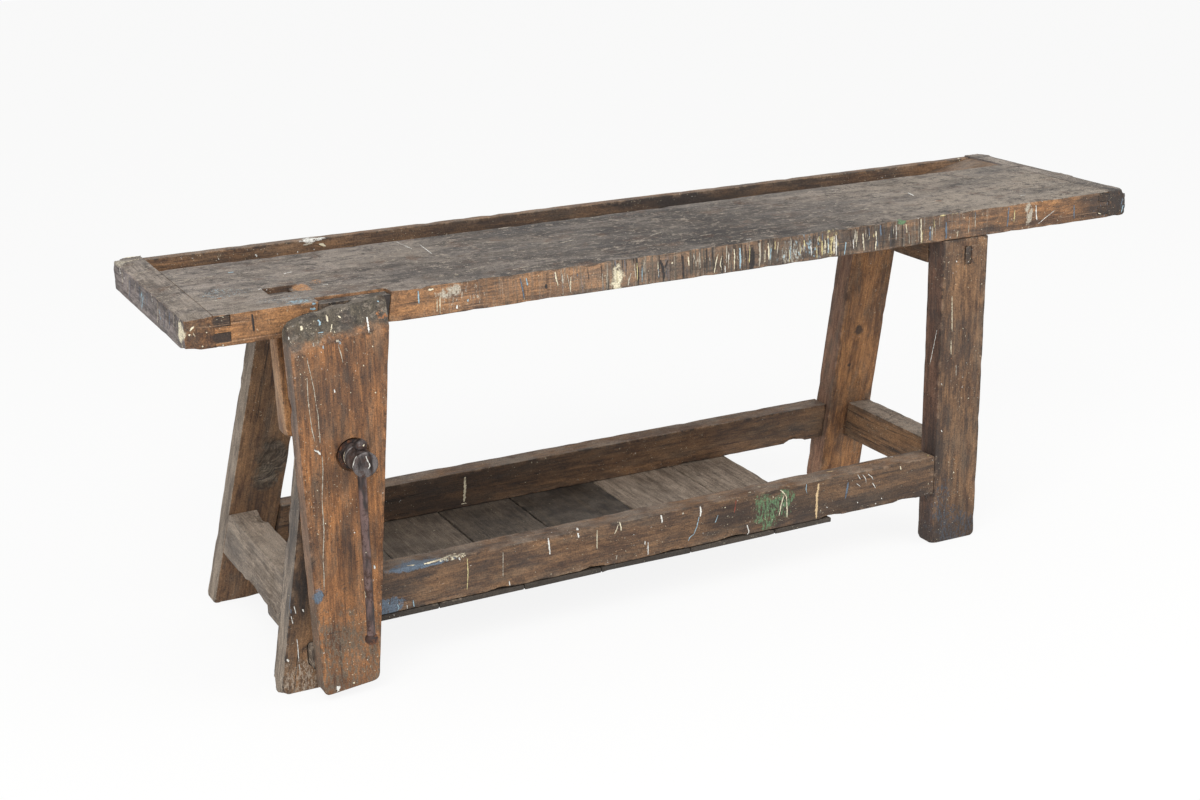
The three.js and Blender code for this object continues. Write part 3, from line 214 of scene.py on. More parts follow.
# Paint that ran, by the piece it is on and its colour: each run is its width in mm and the places it passes.
# A place of two numbers is the pixel of the photo where the run is seen, and one of three is in mm.
PAINT_RUNS = {
    "top_slab": {
        "sky": (
            (3.9, (418, 291), (419, 304)), (3.6, (468, 299), (468, 302)), (3.6, (526, 278), (528, 286)),
            (2.1, (642, 266), (642, 282)), (5.3, (740, 248), (740, 269)), (3.6, (771, 248), (770, 260)),
            (2.7, (790, 246), (790, 260)), (2.8, (828, 238), (828, 254)), (3.6, (846, 242), (844, 256)),
            (3.6, (286, 304), (296, 302)), (5.3, (312, 304), (316, 303)), (5.3, (310, 309), (316, 309)),
            (7.1, (228, 273), (234, 272)),
        ),
        "dull": (
            (3.6, (562, 274), (563, 284)), (2.5, (567, 274), (569, 284), (571, 293)),
            (3.6, (631, 273), (629, 280), (628, 286)), (4.6, (759, 243), (760, 255), (759, 267)),
            (2.7, (800, 241), (800, 256)), (5.3, (214, 301), (220, 300)), (5.3, (224, 290), (232, 289)),
            (2.8, (201, 278), (215, 276)), (4.3, (520, 268), (530, 266)), (3.6, (470, 270), (478, 268)),
            (3.6, (650, 236), (662, 232)), (3.6, (700, 236), (712, 234)), (3.6, (768, 237), (776, 236)),
            (5.3, (498, 229), (511, 227)), (4.3, (590, 218), (600, 217)), (5.3, (560, 243), (574, 240)),
            (5.3, (860, 210), (872, 208)),
        ),
        "cream": (
            (2.1, (440, 296), (440, 314)), (1.8, (437, 299), (437, 312)), (5.3, (428, 290), (434, 289)),
            (3.6, (555, 272), (556, 278), (558, 286)), (3.6, (672, 262), (672, 264)),
            (2.7, (718, 254), (716, 262), (714, 274)), (2.3, (722, 256), (720, 264), (722, 270)),
            (3.6, (734, 249), (734, 270)), (4.6, (768, 243), (769, 260)), (3.6, (825, 240), (825, 254)),
            (4.3, (834, 236), (834, 254)), (2.1, (857, 231), (856, 248)), (2.7, (863, 233), (864, 251)),
            (3.9, (876, 231), (875, 251)), (2.7, (906, 224), (907, 233)),
            (3.9, (921, 219), (921, 230), (921, 243)), (2.1, (958, 230), (957, 237)),
            (3.6, (222, 345), (224, 345)), (3.6, (455, 275), (459, 275)),
        ),
        "white": (
            (4.6, (457, 305), (457, 309)), (2.7, (725, 266), (725, 273)), (3.6, (836, 235), (836, 256)),
            (1.8, (896, 225), (896, 240)), (3.6, (1036, 205), (1036, 213), (1037, 221)),
            (2.1, (1038, 224), (1046, 217), (1055, 210)), (3.6, (283, 274), (292, 272)),
            (3.6, (258, 290), (262, 289)), (2.8, (322, 285), (330, 284)), (2.5, (420, 245), (432, 254)),
            (2.1, (396, 242), (412, 249)), (5.3, (908, 193), (914, 196)), (3.6, (746, 240), (752, 239)),
            (3.6, (1020, 196), (1026, 195)), (2.8, (830, 190), (838, 190)),
        ),
        "slate": (
            (3.6, (520, 278), (522, 287), (524, 299)), (5.3, (880, 224), (881, 236)),
            (5.3, (930, 226), (930, 241)), (5.3, (946, 222), (946, 239)),
            (3.6, (1009, 207), (1008, 216), (1007, 227)), (3.6, (1074, 205), (1074, 219)),
        ),
        "black": (
            (5.3, (546, 284), (546, 289)), (7.1, (660, 260), (663, 268), (664, 279)),
            (4.5, (668, 260), (665, 268)), (4.6, (683, 256), (683, 279)),
            (4.6, (252, 314), (253, 322), (254, 332)),
        ),
        "yellow": (
            (3.6, (775, 241), (775, 250)), (3.6, (804, 240), (805, 247)), (4.3, (822, 240), (822, 256)),
            (4.3, (831, 237), (831, 255)), (2.8, (934, 219), (934, 228)), (3.6, (940, 216), (946, 215)),
            (3.6, (952, 214), (958, 213)),
        ),
        "orange": (
            (3.6, (217, 299), (222, 298)), (5.3, (936, 201), (942, 201)),
        ),
    },
    "left_end_cap": {
        "cream": (
            (4.3, (190, 331), (194, 326)), (4.6, (189, 336), (190, 334)), (3.6, (206, 332), (207, 333)),
            (3.6, (202, 346), (203, 347)), (2.8, (219, 317), (224, 317)),
            (2.1, (116, 266), (120, 263), (140, 259)),
            (4.5, (-1094, 310, 771), (-1072, 319, 774), (-1022, 320, 775)),
        ),
        "dull": (
            (3, (-1100, 252, 768), (-1100, 250, 738)), (2.5, (-1100, 216, 764), (-1100, 214, 727)),
            (2.5, (-1100, 150, 767), (-1100, 149, 742)), (3, (-1100, -18, 766), (-1100, -20, 724)),
            (2.2, (-1100, -84, 765), (-1100, -85, 733)), (2.6, (-1100, -132, 767), (-1100, -133, 737)),
            (2, (-1100, -158, 763), (-1100, -159, 721)),
        ),
        "slate": (
            (4, (-1100, 192, 759), (-1100, 190, 724)), (3.2, (-1100, 121, 764), (-1100, 120, 731)),
            (4.2, (-1100, 63, 766), (-1100, 62, 737)), (3, (-1100, -66, 759), (-1100, -67, 726)),
            (3.2, (-1100, -107, 766), (-1100, -108, 735)),
        ),
        "sky": (
            (2.1, (159, 309), (160, 314), (161, 320)),
        ),
        "white": (
            (2.5, (124, 277), (125, 279)), (2.6, (-1100, 263, 770), (-1100, 261, 757)),
            (2, (-1100, 24, 768), (-1100, 23, 749)),
        ),
    },
    "right_end_cap": {
        "sky": (
            (3.2, (1123, 205), (1121, 213)),
        ),
        "cream": (
            (2.7, (1098, 213), (1101, 214)),
        ),
    },
    "front_stretcher": {
        "slate": (
            (2.8, (393, 596), (393, 601), (397, 604)), (6.1, (848, 482), (847, 490), (845, 499)),
        ),
        "cream": (
            (5.3, (424, 564), (436, 561), (448, 557)), (3.6, (407, 566), (415, 565)),
            (2.5, (597, 530), (597, 538), (597, 549)), (3.6, (618, 522), (616, 531), (614, 534)),
            (3.6, (619, 522), (621, 528), (621, 531)), (3.6, (725, 507), (725, 508)),
            (3.6, (780, 490), (784, 493), (787, 498)), (3.2, (784, 495), (781, 505), (779, 516)),
            (3.2, (786, 494), (787, 508), (787, 518)), (3.6, (773, 496), (773, 498)),
            (3.9, (900, 466), (901, 470)), (3.6, (757, 487), (761, 487)), (3.6, (748, 493), (751, 492)),
            (3.6, (719, 497), (720, 497)),
        ),
        "white": (
            (3.6, (459, 557), (460, 561)), (3.2, (509, 581), (510, 586)),
            (4.3, (548, 538), (549, 545), (550, 555)), (6.4, (577, 528), (578, 534), (579, 538)),
            (4.6, (661, 515), (662, 520), (662, 523)), (2.5, (645, 541), (645, 545)),
            (2.8, (648, 542), (648, 548), (648, 555)), (5.3, (700, 506), (701, 512), (700, 517)),
            (3.6, (747, 525), (749, 532), (747, 535)), (2.5, (407, 605), (407, 609)),
            (2.2, (368, -206, 211), (377, -206, 197)),
            (1.9, (382, -206, 208), (389, -206, 199), (392, -206, 188)),
            (2.6, (396, -207, 207), (406, -206, 199), (411, -206, 190)),
            (1.9, (366, -206, 190), (377, -206, 181)), (2.1, (409, -206, 184), (418, -206, 169)),
            (3.6, (881, 498), (882, 499)), (3.6, (857, 502), (858, 503)), (2.8, (875, 503), (876, 504)),
            (4.3, (890, 457), (893, 457)),
        ),
        "yellow": (
            (2.8, (467, 558), (468, 574), (467, 590)), (5.3, (927, 455), (929, 456)),
        ),
        "dull": (
            (2.3, (503, 552), (503, 562), (503, 577)), (2.8, (617, 555), (616, 560)),
            (5.3, (682, 514), (684, 513)),
        ),
        "sky": (
            (2.8, (699, 517), (697, 526), (694, 534)), (2.8, (694, 534), (690, 537), (688, 541)),
            (2.5, (718, 515), (715, 523)), (2.8, (397, 604), (399, 608), (397, 611)),
            (3.6, (413, 600), (414, 607)), (2.5, (806, 483), (806, 490), (807, 494)),
        ),
        "rust": (
            (3.6, (736, 500), (735, 508), (734, 513)),
        ),
        "sand": (
            (7.8, (818, 480), (817, 495), (816, 519)), (3.6, (826, 472), (834, 471)),
        ),
    },
    "rear_stretcher": {
        "cream": (
            (8, (465, 477), (465, 489), (464, 502)), (3.6, (461, 504), (467, 503)),
        ),
    },
    "vise_chop": {
        "cream": (
            (7.1, (301, 326), (302, 331)), (6.1, (326, 315), (327, 318), (328, 322)),
            (3.6, (341, 310), (342, 311)), (3.6, (338, 316), (341, 318)),
            (2.1, (332, 324), (331, 330), (330, 333)), (2.5, (334, 331), (335, 333)),
            (2.8, (363, 365), (364, 366)), (2.8, (350, 392), (351, 393)), (2.8, (375, 392), (376, 393)),
            (2.8, (317, 490), (318, 491)), (3.2, (325, 523), (326, 524)), (2.8, (372, 346), (373, 347)),
            (2.8, (300, 374), (301, 375)), (3.6, (353, 683), (355, 683)),
        ),
        "sky": (
            (5.3, (318, 320), (320, 323), (319, 326)), (2.5, (318, 333), (324, 332)),
            (3.6, (377, 301), (379, 302)),
        ),
        "white": (
            (4.3, (367, 317), (368, 325), (369, 333)), (4.6, (288, 337), (289, 340)),
            (4.6, (314, 450), (318, 452), (321, 455)), (3.2, (334, 389), (335, 393)),
            (3.6, (354, 532), (355, 533)), (5.3, (374, 565), (375, 569)), (6.1, (337, 686), (339, 691)),
            (5.3, (340, 686), (337, 692)),
        ),
        "dull": (
            (7.1, (336, 341), (339, 341)), (4.3, (313, 343), (314, 347)),
            (2.1, (338, 345), (341, 354), (343, 363)), (2.1, (307, 358), (308, 364), (311, 376)),
            (2, (311, 376), (314, 390), (316, 404)), (2, (316, 404), (318, 415), (319, 430)),
            (2, (319, 430), (320, 438), (320, 444)), (2.1, (307, 378), (308, 400), (310, 416)),
            (2.1, (310, 416), (312, 430), (315, 442)), (2.3, (322, 456), (323, 470), (322, 500)),
            (2.3, (322, 500), (324, 530), (323, 560)), (2.3, (323, 560), (324, 575), (324, 590)),
        ),
        "slate": (
            (7.1, (321, 592), (323, 597)),
        ),
    },
    "tommy_bar": {
        "cream": (
            (2.8, (365, 591), (366, 598)), (1.8, (366, 552), (366, 553)),
        ),
    },
    "upper_bar_knob": {
        "cream": (
            (6.1, (363, 445), (364, 446)),
        ),
    },
    "vise_screw": {
        "cream": (
            (2.8, (345, 452), (344, 458), (346, 464)),
        ),
        "white": (
            (2.7, (366, 456), (367, 460), (369, 463)), (2.8, (369, 463), (370, 466), (368, 469)),
            # The last white run follows the left rim of the screw head's front disc: a painted highlight,
            # drawn as white paint.
            (2.1, (357, 456), (354, 462), (353, 468)),
        ),
        "orange": (
            (2.8, (366, 465), (366, 465)),
        ),
    },
    "vise_leg": {
        "white": (
            (2.5, (297, 639), (298, 650), (299, 662)), (2.1, (299, 664), (300, 670)),
            (2.3, (294, 606), (296, 614)), (2.1, (291, 616), (293, 624)), (3.6, (302, 609), (304, 612)),
            (4.6, (287, 659), (289, 662)),
        ),
        "slate": (
            (3.6, (291, 592), (290, 603), (291, 614)),
        ),
    },
    "right_front_leg": {
        "cream": (
            (2.3, (952, 296), (952, 310), (952, 332)), (2.1, (951, 340), (951, 355)),
            (2.8, (968, 398), (969, 398)), (2.5, (963, 328), (963, 329)), (3.6, (953, 472), (954, 473)),
            (2.5, (981, 284), (982, 284)),
        ),
        "orange": (
            (3.9, (951, 358), (951, 359)),
        ),
        "white": (
            (3.6, (956, 261), (957, 262)), (2.1, (937, 330), (934, 345), (930, 364)),
            (3.2, (941, 384), (942, 384)), (3.6, (941, 430), (942, 432)),
        ),
        "dull": (
            (2.3, (956, 365), (956, 376)),
        ),
    },
    "rear_rail": {
        "white": (
            (4.3, (255, 254), (257, 257)), (3.6, (298, 252), (297, 252)), (2.8, (314, 249), (314, 250)),
        ),
        "dull": (
            (5.3, (303, 245), (313, 243)),
        ),
        "cream": (
            (7.1, (319, 244), (326, 246)), (5.3, (958, 158), (959, 161)),
        ),
    },
}


def srgb(red, green, blue):
    """A colour from a paint chart's 0 to 255 numbers, as Blender's linear colour."""
    shares = (part / 255 for part in (red, green, blue))
    return tuple(s / 12.92 if s <= 0.04045 else ((s + 0.055) / 1.055) ** 2.4 for s in shares)


def colour(name, description, chart):
    return FloatVectorProperty(
        name=name, description=description, default=srgb(*chart), subtype="COLOR", size=3, min=0, max=1
    )


def length(name, description, metres):
    return FloatProperty(name=name, description=description, default=metres, min=0, unit="LENGTH")


class BenchSizes(bpy.types.PropertyGroup):
    """Sizes of the wear on the wood, of the thread and of the paint"""

    edge_round: length("Edge round", "Width of the worn rounding along the edges", 0.003)
    top_round: length("Top edge round", "Width of the worn rounding along the top's edges", 0.005)
    cap_round: length("Cap edge round", "Width of the worn rounding along the end caps", 0.013)
    chip_depth: length("Chip depth", "Deepest chip along an edge", 0.003)
    hollow_depth: length("Hollow depth", "Deepest hollow that wear left in a face", 0.0012)
    slice_step: length("Slice step", "Spacing of the cross cuts that carry the wear", 0.022)
    edge_border: length("Edge border", "Width of the band along an edge that wears", 0.012)
    thread_start: length("Thread start", "Distance from the garter plate to the thread", 0.001)
    thread_lead: length("Thread lead", "Travel of the vise screw in one turn", 0.008)
    thread_outside: length("Thread radius", "Radius over the crests of the thread", 0.015)
    thread_core: length("Thread core", "Radius at the roots of the thread", 0.012)
    paint_thick: length("Paint thickness", "Height of a paint run over the wood", 0.0006)
    paint_step: length("Paint step", "Spacing of the rings that shape a paint run", 0.003)
    drip_count: IntProperty(
        name="Drips", description="Small drips on the front edge beside the noted ones", default=90, min=0
    )


class WoodColours(bpy.types.PropertyGroup):
    """The dark and light tone of each wood, and what has settled on it"""

    top_dark: colour("Top dark", "Dark grain of the worked surface", (84, 75, 68))
    top_light: colour("Top light", "Light grain of the worked surface", (166, 154, 143))
    edge_dark: colour("Edge dark", "Dark grain of the top's edges", (84, 56, 37))
    edge_light: colour("Edge light", "Light grain of the top's edges", (176, 126, 80))
    oak_dark: colour("Oak dark", "Dark grain of the oiled frame", (70, 49, 36))
    oak_light: colour("Oak light", "Light grain of the oiled frame", (142, 107, 75))
    dusty_dark: colour("Dusty dark", "Dark grain of the dry, dusty rails", (96, 83, 71))
    dusty_light: colour("Dusty light", "Light grain of the dry, dusty rails", (164, 148, 131))
    shelf_dark: colour("Shelf dark", "Dark grain of the shelf boards", (48, 41, 34))
    shelf_light: colour("Shelf light", "Light grain of the shelf boards", (104, 91, 76))
    chop_dark: colour("Chop dark", "Dark grain of the vise chop", (88, 58, 38))
    chop_light: colour("Chop light", "Light grain of the vise chop", (170, 116, 70))
    side_dark: colour("Chop side dark", "Dark grain of the chop's left side", (92, 70, 54))
    side_light: colour("Chop side light", "Light grain of the chop's left side", (159, 123, 97))
    pale_dark: colour("Stop dark", "Dark grain of the planing stop", (128, 88, 58))
    pale_light: colour("Stop light", "Light grain of the planing stop", (200, 160, 122))
    end_dark: colour("Cap end dark", "Dark grain of the end caps' outer faces", (62, 55, 54))
    end_light: colour("Cap end light", "Light grain of the end caps' outer faces", (148, 137, 133))
    bevel_dark: colour("Bevel dark", "Dark rough wood on the chop's bevelled head", (40, 37, 31))
    bevel_light: colour("Bevel light", "Light rough wood on the chop's bevelled head", (93, 84, 69))
    # Painted shade: the right legs' inner sides get a darker copy of the oak.
    shaded_inner_dark: colour("Inner side dark", "Dark grain of the right legs' inner sides", (74, 51, 40))
    shaded_inner_light: colour("Inner side light", "Light grain of the right legs' inner sides", (132, 98, 78))
    plum_dark: colour("Rear leg side dark", "Dark grain of the rear leg's inner side", (104, 73, 56))
    plum_light: colour("Rear leg side light", "Light grain of the rear leg's inner side", (174, 133, 106))
    inky: colour("Inky", "Blue-black stain on the foot", (66, 68, 74))
    film: colour("Film", "Grey-brown film of age", (108, 97, 83))
    grime: colour("Grime", "Black grease and dirt", (42, 36, 33))
    dust: colour("Dust", "Grey dust on faces that look up", (152, 140, 126))


class PaintColours(bpy.types.PropertyGroup):
    """The paints that dripped on the bench"""

    cream: colour("Cream", "Old cream gloss paint", (222, 212, 184))
    white: colour("White", "White primer", (226, 225, 218))
    sky: colour("Light blue", "Light blue paint", (150, 178, 190))
    slate: colour("Slate blue", "Dull blue-grey paint", (92, 108, 124))
    green: colour("Green", "Dull green paint", (92, 122, 88))
    yellow: colour("Yellow", "Straw yellow paint", (198, 184, 134))
    sand: colour("Sand", "Sand-coloured paint", (206, 178, 136))
    dull: colour("Dull white", "Thin white paint, rubbed and dirty", (176, 168, 152))
    orange: colour("Orange", "Bare orange wood or a dab of orange paint", (168, 108, 62))
    rust: colour("Red oxide", "Red oxide primer", (134, 62, 44))
    black: colour("Black", "Black pitch", (34, 31, 31))


class MetalColours(bpy.types.PropertyGroup):
    """The steel and iron of the vise and the fasteners"""

    steel: colour("Steel", "Handled dark steel", (116, 110, 109))
    brown: colour("Brown iron", "Purple-brown skin of the tommy bar", (112, 90, 86))
    soot: colour("Soot", "Dirt in the hollows of the steel", (44, 38, 37))
    rust: colour("Rust", "Bright rust", (122, 76, 48))
    old_rust: colour("Old rust", "Dark brown rust", (66, 46, 38))


class StageSettings(bpy.types.PropertyGroup):
    """The floor, the lamps and the camera"""

    floor: colour("Floor", "Pale studio floor", (238, 238, 236))
    key_power: FloatProperty(
        name="Key power", description="Large soft lamp over the worker's left", default=120, unit="POWER"
    )
    fill_power: FloatProperty(
        name="Fill power", description="Large soft lamp on the right", default=60, unit="POWER"
    )
    sky_strength: FloatProperty(name="Sky", description="Even light from all sides", default=0.62)
    lens: FloatProperty(name="Lens", description="Focal length", default=55.3, subtype="DISTANCE_CAMERA")


class Surface:
    """The node tree of a material or a world, built up in short calls."""

    def __init__(self, owner):
        owner.use_nodes = True
        self.owner = owner
        self.tree = owner.node_tree
        self.tree.nodes.clear()
        coordinates = self.node("ShaderNodeTexCoord")
        self.place = coordinates.outputs["Object"]
        self.normal = coordinates.outputs["Normal"]

    def node(self, kind, inputs=None, **settings):
        made = self.tree.nodes.new(kind)
        for key, value in settings.items():
            setattr(made, key, value)
        for key, value in (inputs or {}).items():
            if isinstance(value, bpy.types.NodeSocket):
                self.tree.links.new(value, made.inputs[key])
            elif made.inputs[key].type == "RGBA":
                made.inputs[key].default_value = (*value, 1)
            else:
                made.inputs[key].default_value = value
        return made

    def mapped(self, vector, scale=(1, 1, 1), rotation=(0, 0, 0), location=(0, 0, 0)):
        inputs = {"Vector": vector, "Scale": scale, "Rotation": rotation, "Location": location}
        return self.node("ShaderNodeMapping", inputs).outputs[0]

    def noise(self, vector, scale, detail=3.0, roughness=0.5):
        inputs = {"Vector": vector, "Scale": scale, "Detail": detail, "Roughness": roughness}
        return self.node("ShaderNodeTexNoise", inputs).outputs[0]

    def math(self, operation, first, second=0.0, clamp=False):
        return self.node(
            "ShaderNodeMath", {0: first, 1: second}, operation=operation, use_clamp=clamp
        ).outputs[0]

    def span(self, value, low, high, to_low=0.0, to_high=1.0):
        """value carried smoothly from low..high to to_low..to_high."""
        inputs = {"Value": value, "From Min": low, "From Max": high, "To Min": to_low, "To Max": to_high}
        return self.node("ShaderNodeMapRange", inputs, interpolation_type="SMOOTHSTEP").outputs[0]

    def mix(self, amount, first, second, blend="MIX"):
        inputs = {0: amount, 6: first, 7: second}
        return self.node("ShaderNodeMix", inputs, data_type="RGBA", blend_type=blend).outputs[2]

    def facing(self, direction, low=0.6, high=0.85):
        """1 on faces that look along direction, 0 on the rest."""
        inputs = {0: self.normal, 1: tuple(direction)}
        dot = self.node("ShaderNodeVectorMath", inputs, operation="DOT_PRODUCT").outputs["Value"]
        return self.span(dot, low, high)

    def away_from(self, place, reach):
        """How far off a place is, counted in reaches: 1 on an ellipsoid round it."""
        apart = self.node("ShaderNodeVectorMath", {0: self.place, 1: place}, operation="SUBTRACT")
        inputs = {0: apart.outputs[0], 1: reach}
        counted = self.node("ShaderNodeVectorMath", inputs, operation="DIVIDE").outputs[0]
        return self.node("ShaderNodeVectorMath", {0: counted}, operation="LENGTH").outputs["Value"]

    def ramp(self, value, stops):
        """A smooth run of grey values along stops of (place, value)."""
        made = self.node("ShaderNodeValToRGB", {0: value})
        elements = made.color_ramp.elements
        while len(elements) < len(stops):
            elements.new(1.0)
        for element, (place, level) in zip(elements, stops):
            element.position = place
            element.color = (level, level, level, 1)
        return made.outputs[0]

    def close(self, tint, roughness, height, bump_depth, metallic=0.0):
        bump = self.node("ShaderNodeBump", {"Height": height, "Distance": bump_depth, "Strength": 1.0})
        inputs = {"Base Color": tint, "Roughness": roughness, "Normal": bump.outputs[0]}
        shader = self.node("ShaderNodeBsdfPrincipled", inputs)
        if isinstance(metallic, bpy.types.NodeSocket):
            self.tree.links.new(metallic, shader.inputs["Metallic"])
        else:
            shader.inputs["Metallic"].default_value = metallic
        self.node("ShaderNodeOutputMaterial", {"Surface": shader.outputs[0]})
        return self.owner


@dataclass
class Wood:
    """How one timber looks: its tones, its growth and what has settled on it.

    upper and outer are the (dark, light) tones of faces that look up and to the left.
    Where upper_above is set, a (place, slope) line along the bench, all that is over it counts as upper.
    stains, upper_stains and runs are (place, amount) stops from the left end to the right:
    grime on the sides, grime on the upper faces, and what ran down the front edge,
    and upper_wash is the same for the pale dust that is rubbed into the upper faces.
    black_below is the (start, end) heights between which grime closes in.
    soot is (place, reach, amount) dark patches, mostly dirt and in a few places painted shade, and smears
    are (place, reach, tone, cover) of old paint, and at the shelf boards' ends of painted shadow.
    dark_spots are (place, reach) and nearly black, and rim is how black the edges are.
    hole_walls are (place, reach) round a hole, where faces that don't look up are as dark: painted shade
    inside the hole.
    splinters are (place, reach) where the face is torn into curls of pale and dark fibre.
    flecks is how much of the knocks and pale flecks of the upper faces shows.
    """

    dark: tuple
    light: tuple
    grain: Vector = ALONG
    grime: float = 0.55
    dust: float = 0.35
    specks: float = 0.5
    end: float = 0.5
    film: float = 0.35
    upper: tuple = ()
    upper_above: tuple = ()
    outer: tuple = ()
    stains: tuple = ()
    upper_stains: tuple = ()
    upper_wash: tuple = ()
    runs: tuple = ()
    soot: tuple = ()
    dark_spots: tuple = ()
    hole_walls: tuple = ()
    splinters: tuple = ()
    smears: tuple = ()
    rim: float = 1.0
    flecks: float = 1.0
    black_below: tuple = ()
    scratches: float = 0.0
    knots: tuple = ()


def wood_growth(s, wood, seed):
    """The grain of a timber as named shares: fibre, figure, pores, checks and slow changes of tone."""
    turn = wood.grain.rotation_difference(ALONG).to_euler()
    shift = (seed * 0.37, 0.05 + 0.013 * (seed % 5), 0.11 + 0.017 * (seed % 3))
    lie = s.mapped(s.place, rotation=tuple(turn), location=shift)
    checks = s.noise(s.mapped(lie, (1.1, 48, 48), location=(4.1, 0, 0)), 1.0, 3, 0.55)
    drift = s.noise(s.mapped(lie, (1.3, 5, 5)), 1.0, 2)
    split = s.span(s.math("ABSOLUTE", s.math("SUBTRACT", checks, 0.36)), 0.012, 0.0)
    return {
        "lie": lie,
        "drift": drift,
        "streaks": s.noise(s.mapped(lie, (4.5, 115, 115)), 1.0, 6, 0.68),
        "fibre": s.noise(s.mapped(lie, (14, 430, 430)), 1.0, 4, 0.6),
        "figure": s.noise(s.mapped(lie, (20, 66, 66)), 1.0, 6, 0.7),
        "mottle": s.noise(s.mapped(lie, (9, 24, 24)), 1.0, 5, 0.62),
        "pore": s.span(s.noise(s.mapped(lie, (30, 640, 640)), 1.0, 2), 0.60, 0.72),
        "check": s.math("MULTIPLY", split, s.span(drift, 0.47, 0.6)),
    }


def weighed(s, parts):
    """The sum of (share, weight) pairs."""
    total = 0.0
    for value, weight in parts:
        total = s.math("ADD", s.math("MULTIPLY", value, weight), total)
    return total


def along_stain(s, stops):
    """Grime that comes and goes from the left end of the bench to the right."""
    low, high = CAD_BOX[0][0], CAD_BOX[1][0]
    wander = s.math("MULTIPLY", s.math("SUBTRACT", s.noise(s.place, 9.0, 4), 0.5), 0.3)
    along = s.node("ShaderNodeSeparateXYZ", {0: s.place}).outputs[0]
    inputs = {"Value": s.math("ADD", along, wander), "From Min": low, "From Max": high}
    return s.ramp(s.node("ShaderNodeMapRange", inputs).outputs[0], stops)


def height_grime(s, start, end):
    """Grime that closes in from the start height to the end height, with a ragged border."""
    rise = s.node("ShaderNodeSeparateXYZ", {0: s.place}).outputs[2]
    wander = s.math("MULTIPLY", s.math("SUBTRACT", s.noise(s.place, 22.0, 5, 0.65), 0.5), abs(end - start))
    return s.span(s.math("ADD", rise, wander), start, end)


